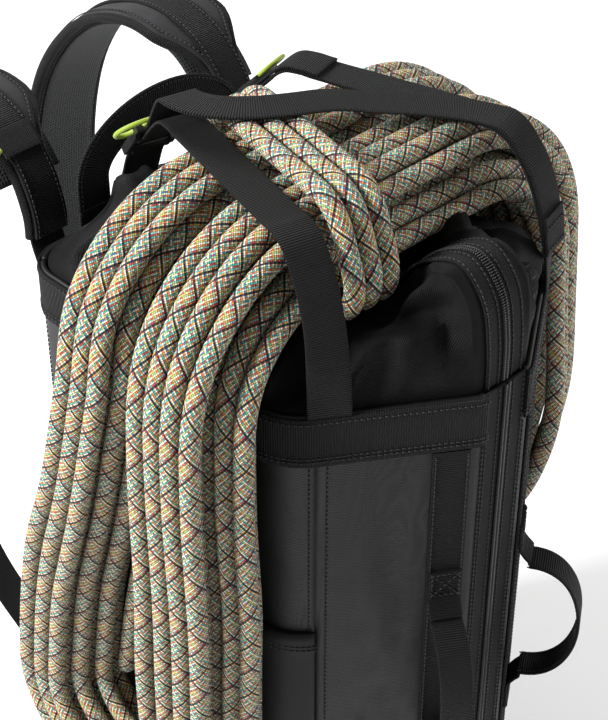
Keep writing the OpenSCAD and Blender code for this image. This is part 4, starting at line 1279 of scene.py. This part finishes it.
# Shoulder straps: curved foam pads, covered in black cloth and bound at their edges. They are lined
# with spacer mesh, and a webbing runs down the middle of each.
shoulder_x = 0.082
pad_sides = 28
pad_crown = 0.0050
edge_d = 0.0066
lining_w, lining_t, lining_off = 0.048, 0.0018, -0.00585
runner_t, runner_off = 0.0016, 0.0057
shoulder_shape = catmull([(0.162, 0.4766), (0.163, 0.494), (0.174, 0.518), (0.200, 0.539), (0.242, 0.544),
                          (0.294, 0.522), (0.340, 0.468), (0.364, 0.396), (0.367, 0.316), (0.350, 0.240),
                          (0.322, 0.186)], 8)


def pad_half(y, i):
    """Half the pad's width: narrow at its upper end, wide over the shoulder."""
    share = eased((y - 0.174) / 0.040) if i < len(shoulder_shape) // 2 else 1.0
    tail_in = max(0.0, (i - (len(shoulder_shape) - 9)) / 8)
    return 0.0125 + 0.0175 * share - 0.010 * tail_in * tail_in


pad_cloth, tree, shader = new_finish("pad_cloth", 0.7, 0.03, 0.25)
x_part, y_part, z_part = own_axes(tree)
warp = wave(tree, x_part, 2 * math.pi / 7000.0)
weft = wave(tree, sum_node(tree, "ADD", y_part, z_part), 2 * math.pi / 6200.0)
weave = sum_node(tree, "MULTIPLY", warp, weft)
tint(tree, shader, speckle(tree, 60.0), (0.006, 0.0062, 0.007), (0.015, 0.0155, 0.017))
add_bump(tree, shader, weave, 0.3, 0.0003)

spacer, tree, shader = new_finish("spacer_mesh", 0.75, 0.03, 0.25)
place = tree.nodes.new("ShaderNodeUVMap")
place.uv_map = "along"
cells = tree.nodes.new("ShaderNodeTexVoronoi")
cells.feature = "DISTANCE_TO_EDGE"
cells.inputs["Scale"].default_value = 420.0
cells.inputs["Randomness"].default_value = 0.25
tree.links.new(place.outputs[0], cells.inputs["Vector"])
# The mesh's holes are coloured darker than its walls: painted shade in the holes.
wall_share = sum_node(tree, "SMOOTH_MIN", cells.outputs["Distance"], 0.3, 0.1)
painted_hole_shade = sum_node(tree, "MULTIPLY", wall_share, 4.0)
tint(tree, shader, painted_hole_shade, (0.045, 0.047, 0.05), (0.008, 0.0085, 0.009))
add_bump(tree, shader, cells.outputs["Distance"], 0.8, -0.0012)


def along_pad(side, offset, first=0, last=None, edge=0):
    """A line down the pad, off its middle surface; edge is -1 or 1 along its sides."""
    line = []
    last = len(shoulder_shape) - 1 if last is None else last
    for i in range(first, last + 1):
        p = shoulder_shape[i]
        head = heading(shoulder_shape, i)
        q = p + Vector((-head.y, head.x)) * offset
        line.append(Vector((side * shoulder_x + edge * pad_half(p.x, i), q.x, q.y)))
    return line


for side, name in both_sides:
    body = "shoulder_" + name
    rings = []
    middle = along_pad(side, 0.0)
    for i, p in enumerate(middle):
        up = to_right.cross(heading(middle, i)).normalized()
        half = pad_half(p.y, i)
        ring = []
        for k in range(pad_sides):
            a = 2 * math.pi * k / pad_sides
            cx, cy = math.cos(a), math.sin(a)
            wide = half * math.copysign(abs(cx) ** 0.55, cx)
            crown = pad_crown * math.copysign(abs(cy) ** 0.62, cy)
            pinch = 0.0009 * noise.noise(Vector((i * 0.35, cx * 2.0, side * 4.0)))
            ring.append(p + to_right * wide + up * (crown - (pinch if cy > 0.2 else 0.0)))
        rings.append(ring)
    marks = [k / pad_sides for k in range(pad_sides + 1)]
    pad = faced_out(tube("pad_shoulder_strap_" + name, rings, marks, runs_of(middle), marks[:-1]))
    dress(pad, pad_cloth, body, "pad_cloth", "shoulder_strap_" + name)
    lining_line = along_pad(side, lining_off, 14, 76)
    lining = webbing_strip("mesh_shoulder_lining_" + name, lining_line, to_right, lining_w, lining_t, 11)
    dress(lining, spacer, body, "spacer_mesh", "shoulder_mesh_" + name)
    runner_line = along_pad(side, runner_off, 1, 79)
    runner = webbing_strip("webbing_shoulder_runner_" + name, runner_line, to_right, strap_w, runner_t, 7)
    edges = [cord_mesh("binding", along_pad(side, 0.0, edge=w), edge_d, 10) for w in (-1, 1)]
    for piece in (runner, merged(edges, "webbing_shoulder_binding_" + name)):
        dress(piece, webbing, body, "webbing")
    rows = [[p + to_right * (0.0102 * w) for p in along_pad(side, 0.0067, 2, 78)] for w in (-1, 1)]
    rows += [[p - to_right * (0.0042 * w) for p in along_pad(side, off, 12, 80, w)]
             for w in (-1, 1) for off in (0.0047, -0.0047)]
    sew("thread_shoulder_" + name, rows, body)

# Strap ends: webbing holds each pad to the back of the bag, at the rim and at the base. The lower
# length runs through a three-bar adjuster moulded in the same acetal as the locks.
pad_down = (shoulder_shape[-1] - shoulder_shape[-2]).normalized()
lower_start = shoulder_shape[-1] + pad_down * 0.0263
lower_shape = catmull([lower_start, lower_start + pad_down * 0.018, (0.270, 0.110), (0.222, 0.080),
                       (0.184, 0.068), (0.164, 0.064), (0.162, 0.061), (0.162, 0.0590)], 7)
upper_anchor = catmull([(0.1433, 0.394), (0.1433, 0.426), (0.1463, 0.438), (0.156, 0.456), (0.162, 0.471),
                        (0.162, 0.476)], 7)
lower_anchor = catmull([(0.1433, 0.006), (0.1433, 0.0284), (0.1463, 0.0404), (0.158, 0.0504), (0.162, 0.0554),
                        (0.162, 0.0584)], 7)
for side, name in both_sides:
    body = "shoulder_" + name
    for node, shape, owner in (("lower_webbing_", lower_shape, body),
                               ("shoulder_anchor_", upper_anchor, "bag"),
                               ("lower_anchor_", lower_anchor, "bag")):
        line = [Vector((side * shoulder_x, p.x, p.y)) for p in shape]
        strap_piece(node + name, line, to_right, owner, node + name)
    for low, high in ((0.398, 0.422), (0.010, 0.026)):
        bag_rows += sewn_foot(side * shoulder_x, 0.1445, low, high)
    node = "strap_adjuster_" + name
    dress(worked_copy(node, "buckle_" + node, 0.0006), acetal, body, "buckle_plastic", node)

# Chest tab: a short length of webbing, sewn flat across the left pad. A neon cord loop goes through it,
# ready to take a chest strap.
tab_line = along_pad(-1, 0.0070, 18, 22)
tab_head = (tab_line[-1] - tab_line[0]).normalized()
tab_up = to_right.cross(tab_head).normalized()
tab_up = tab_up if tab_up.z > 0 else -tab_up
tab_mid = tab_line[2] + tab_up * 0.0006
tab_width = (tab_line[-1] - tab_line[0]).length
tab_cross = [Vector((-0.098 + 0.028 * q / 12, tab_mid.y, tab_mid.z)) for q in range(13)]
chest = webbing_strip("webbing_chest_tab", tab_cross, tab_head, tab_width, web_t, 5)
dress(chest, webbing, "shoulder_left", "webbing", "chest_tab")
chest_shape = [(-3, 0), (-4.4, 4), (-6.1, 9.5), (-4.6, 15.4), (0, 18), (4.6, 15.4), (6.1, 9.5), (4.4, 4),
               (3, 0)]
chest_points = [Vector((-0.0983 - b / 1000, tab_mid.y, tab_mid.z)) + tab_head * (a / 1000)
                for a, b in chest_shape]
neon_loop("cord_chest_loop", chest_points, 10, "chest_loop", "shoulder_left")
sew("stitching_bag", bag_rows, "bag")

# Studio: a plain pale floor that the bag stands on, and three large soft lights. The strongest shines
# from behind its left shoulder, and an even white sky fills the shadows.
floor_half = 4.0
floor_corners = [(-floor_half, -floor_half, 0), (floor_half, -floor_half, 0),
                 (floor_half, floor_half, 0), (-floor_half, floor_half, 0)]
floor = new_piece("studio_floor", floor_corners, [(0, 1, 2, 3)])
pale, tree, shader = new_finish("pale_floor", 0.8)
shader.inputs["Base Color"].default_value = (0.86, 0.86, 0.86, 1.0)
floor.data.materials.append(pale)
studio = bpy.data.worlds.new("studio")
bpy.context.scene.world = studio
studio.use_nodes = True
backdrop = studio.node_tree.nodes["Background"]
backdrop.inputs["Color"].default_value = (1.0, 1.0, 1.0, 1.0)
backdrop.inputs["Strength"].default_value = 0.36


def soft_light(name, place, aim, size, watts):
    """A square area light that points at a place."""
    lamp = bpy.data.lights.new(name, "AREA")
    lamp.shape = "SQUARE"
    lamp.size = size
    lamp.energy = watts
    light = bpy.data.objects.new(name, lamp)
    light.location = place
    light.rotation_euler = (Vector(aim) - Vector(place)).to_track_quat("-Z", "Y").to_euler()
    bpy.context.scene.collection.objects.link(light)


bpy.context.scene.view_settings.view_transform = "Standard"
soft_light("key_light", (-1.9, 0.8, 1.8), (0, 0, 0.4), 0.7, 125)
soft_light("right_light", (1.7, -0.9, 1.2), (0, 0, 0.35), 0.9, 24)
soft_light("back_light", (0.4, 1.8, 1.7), (0, 0, 0.45), 1.0, 30)
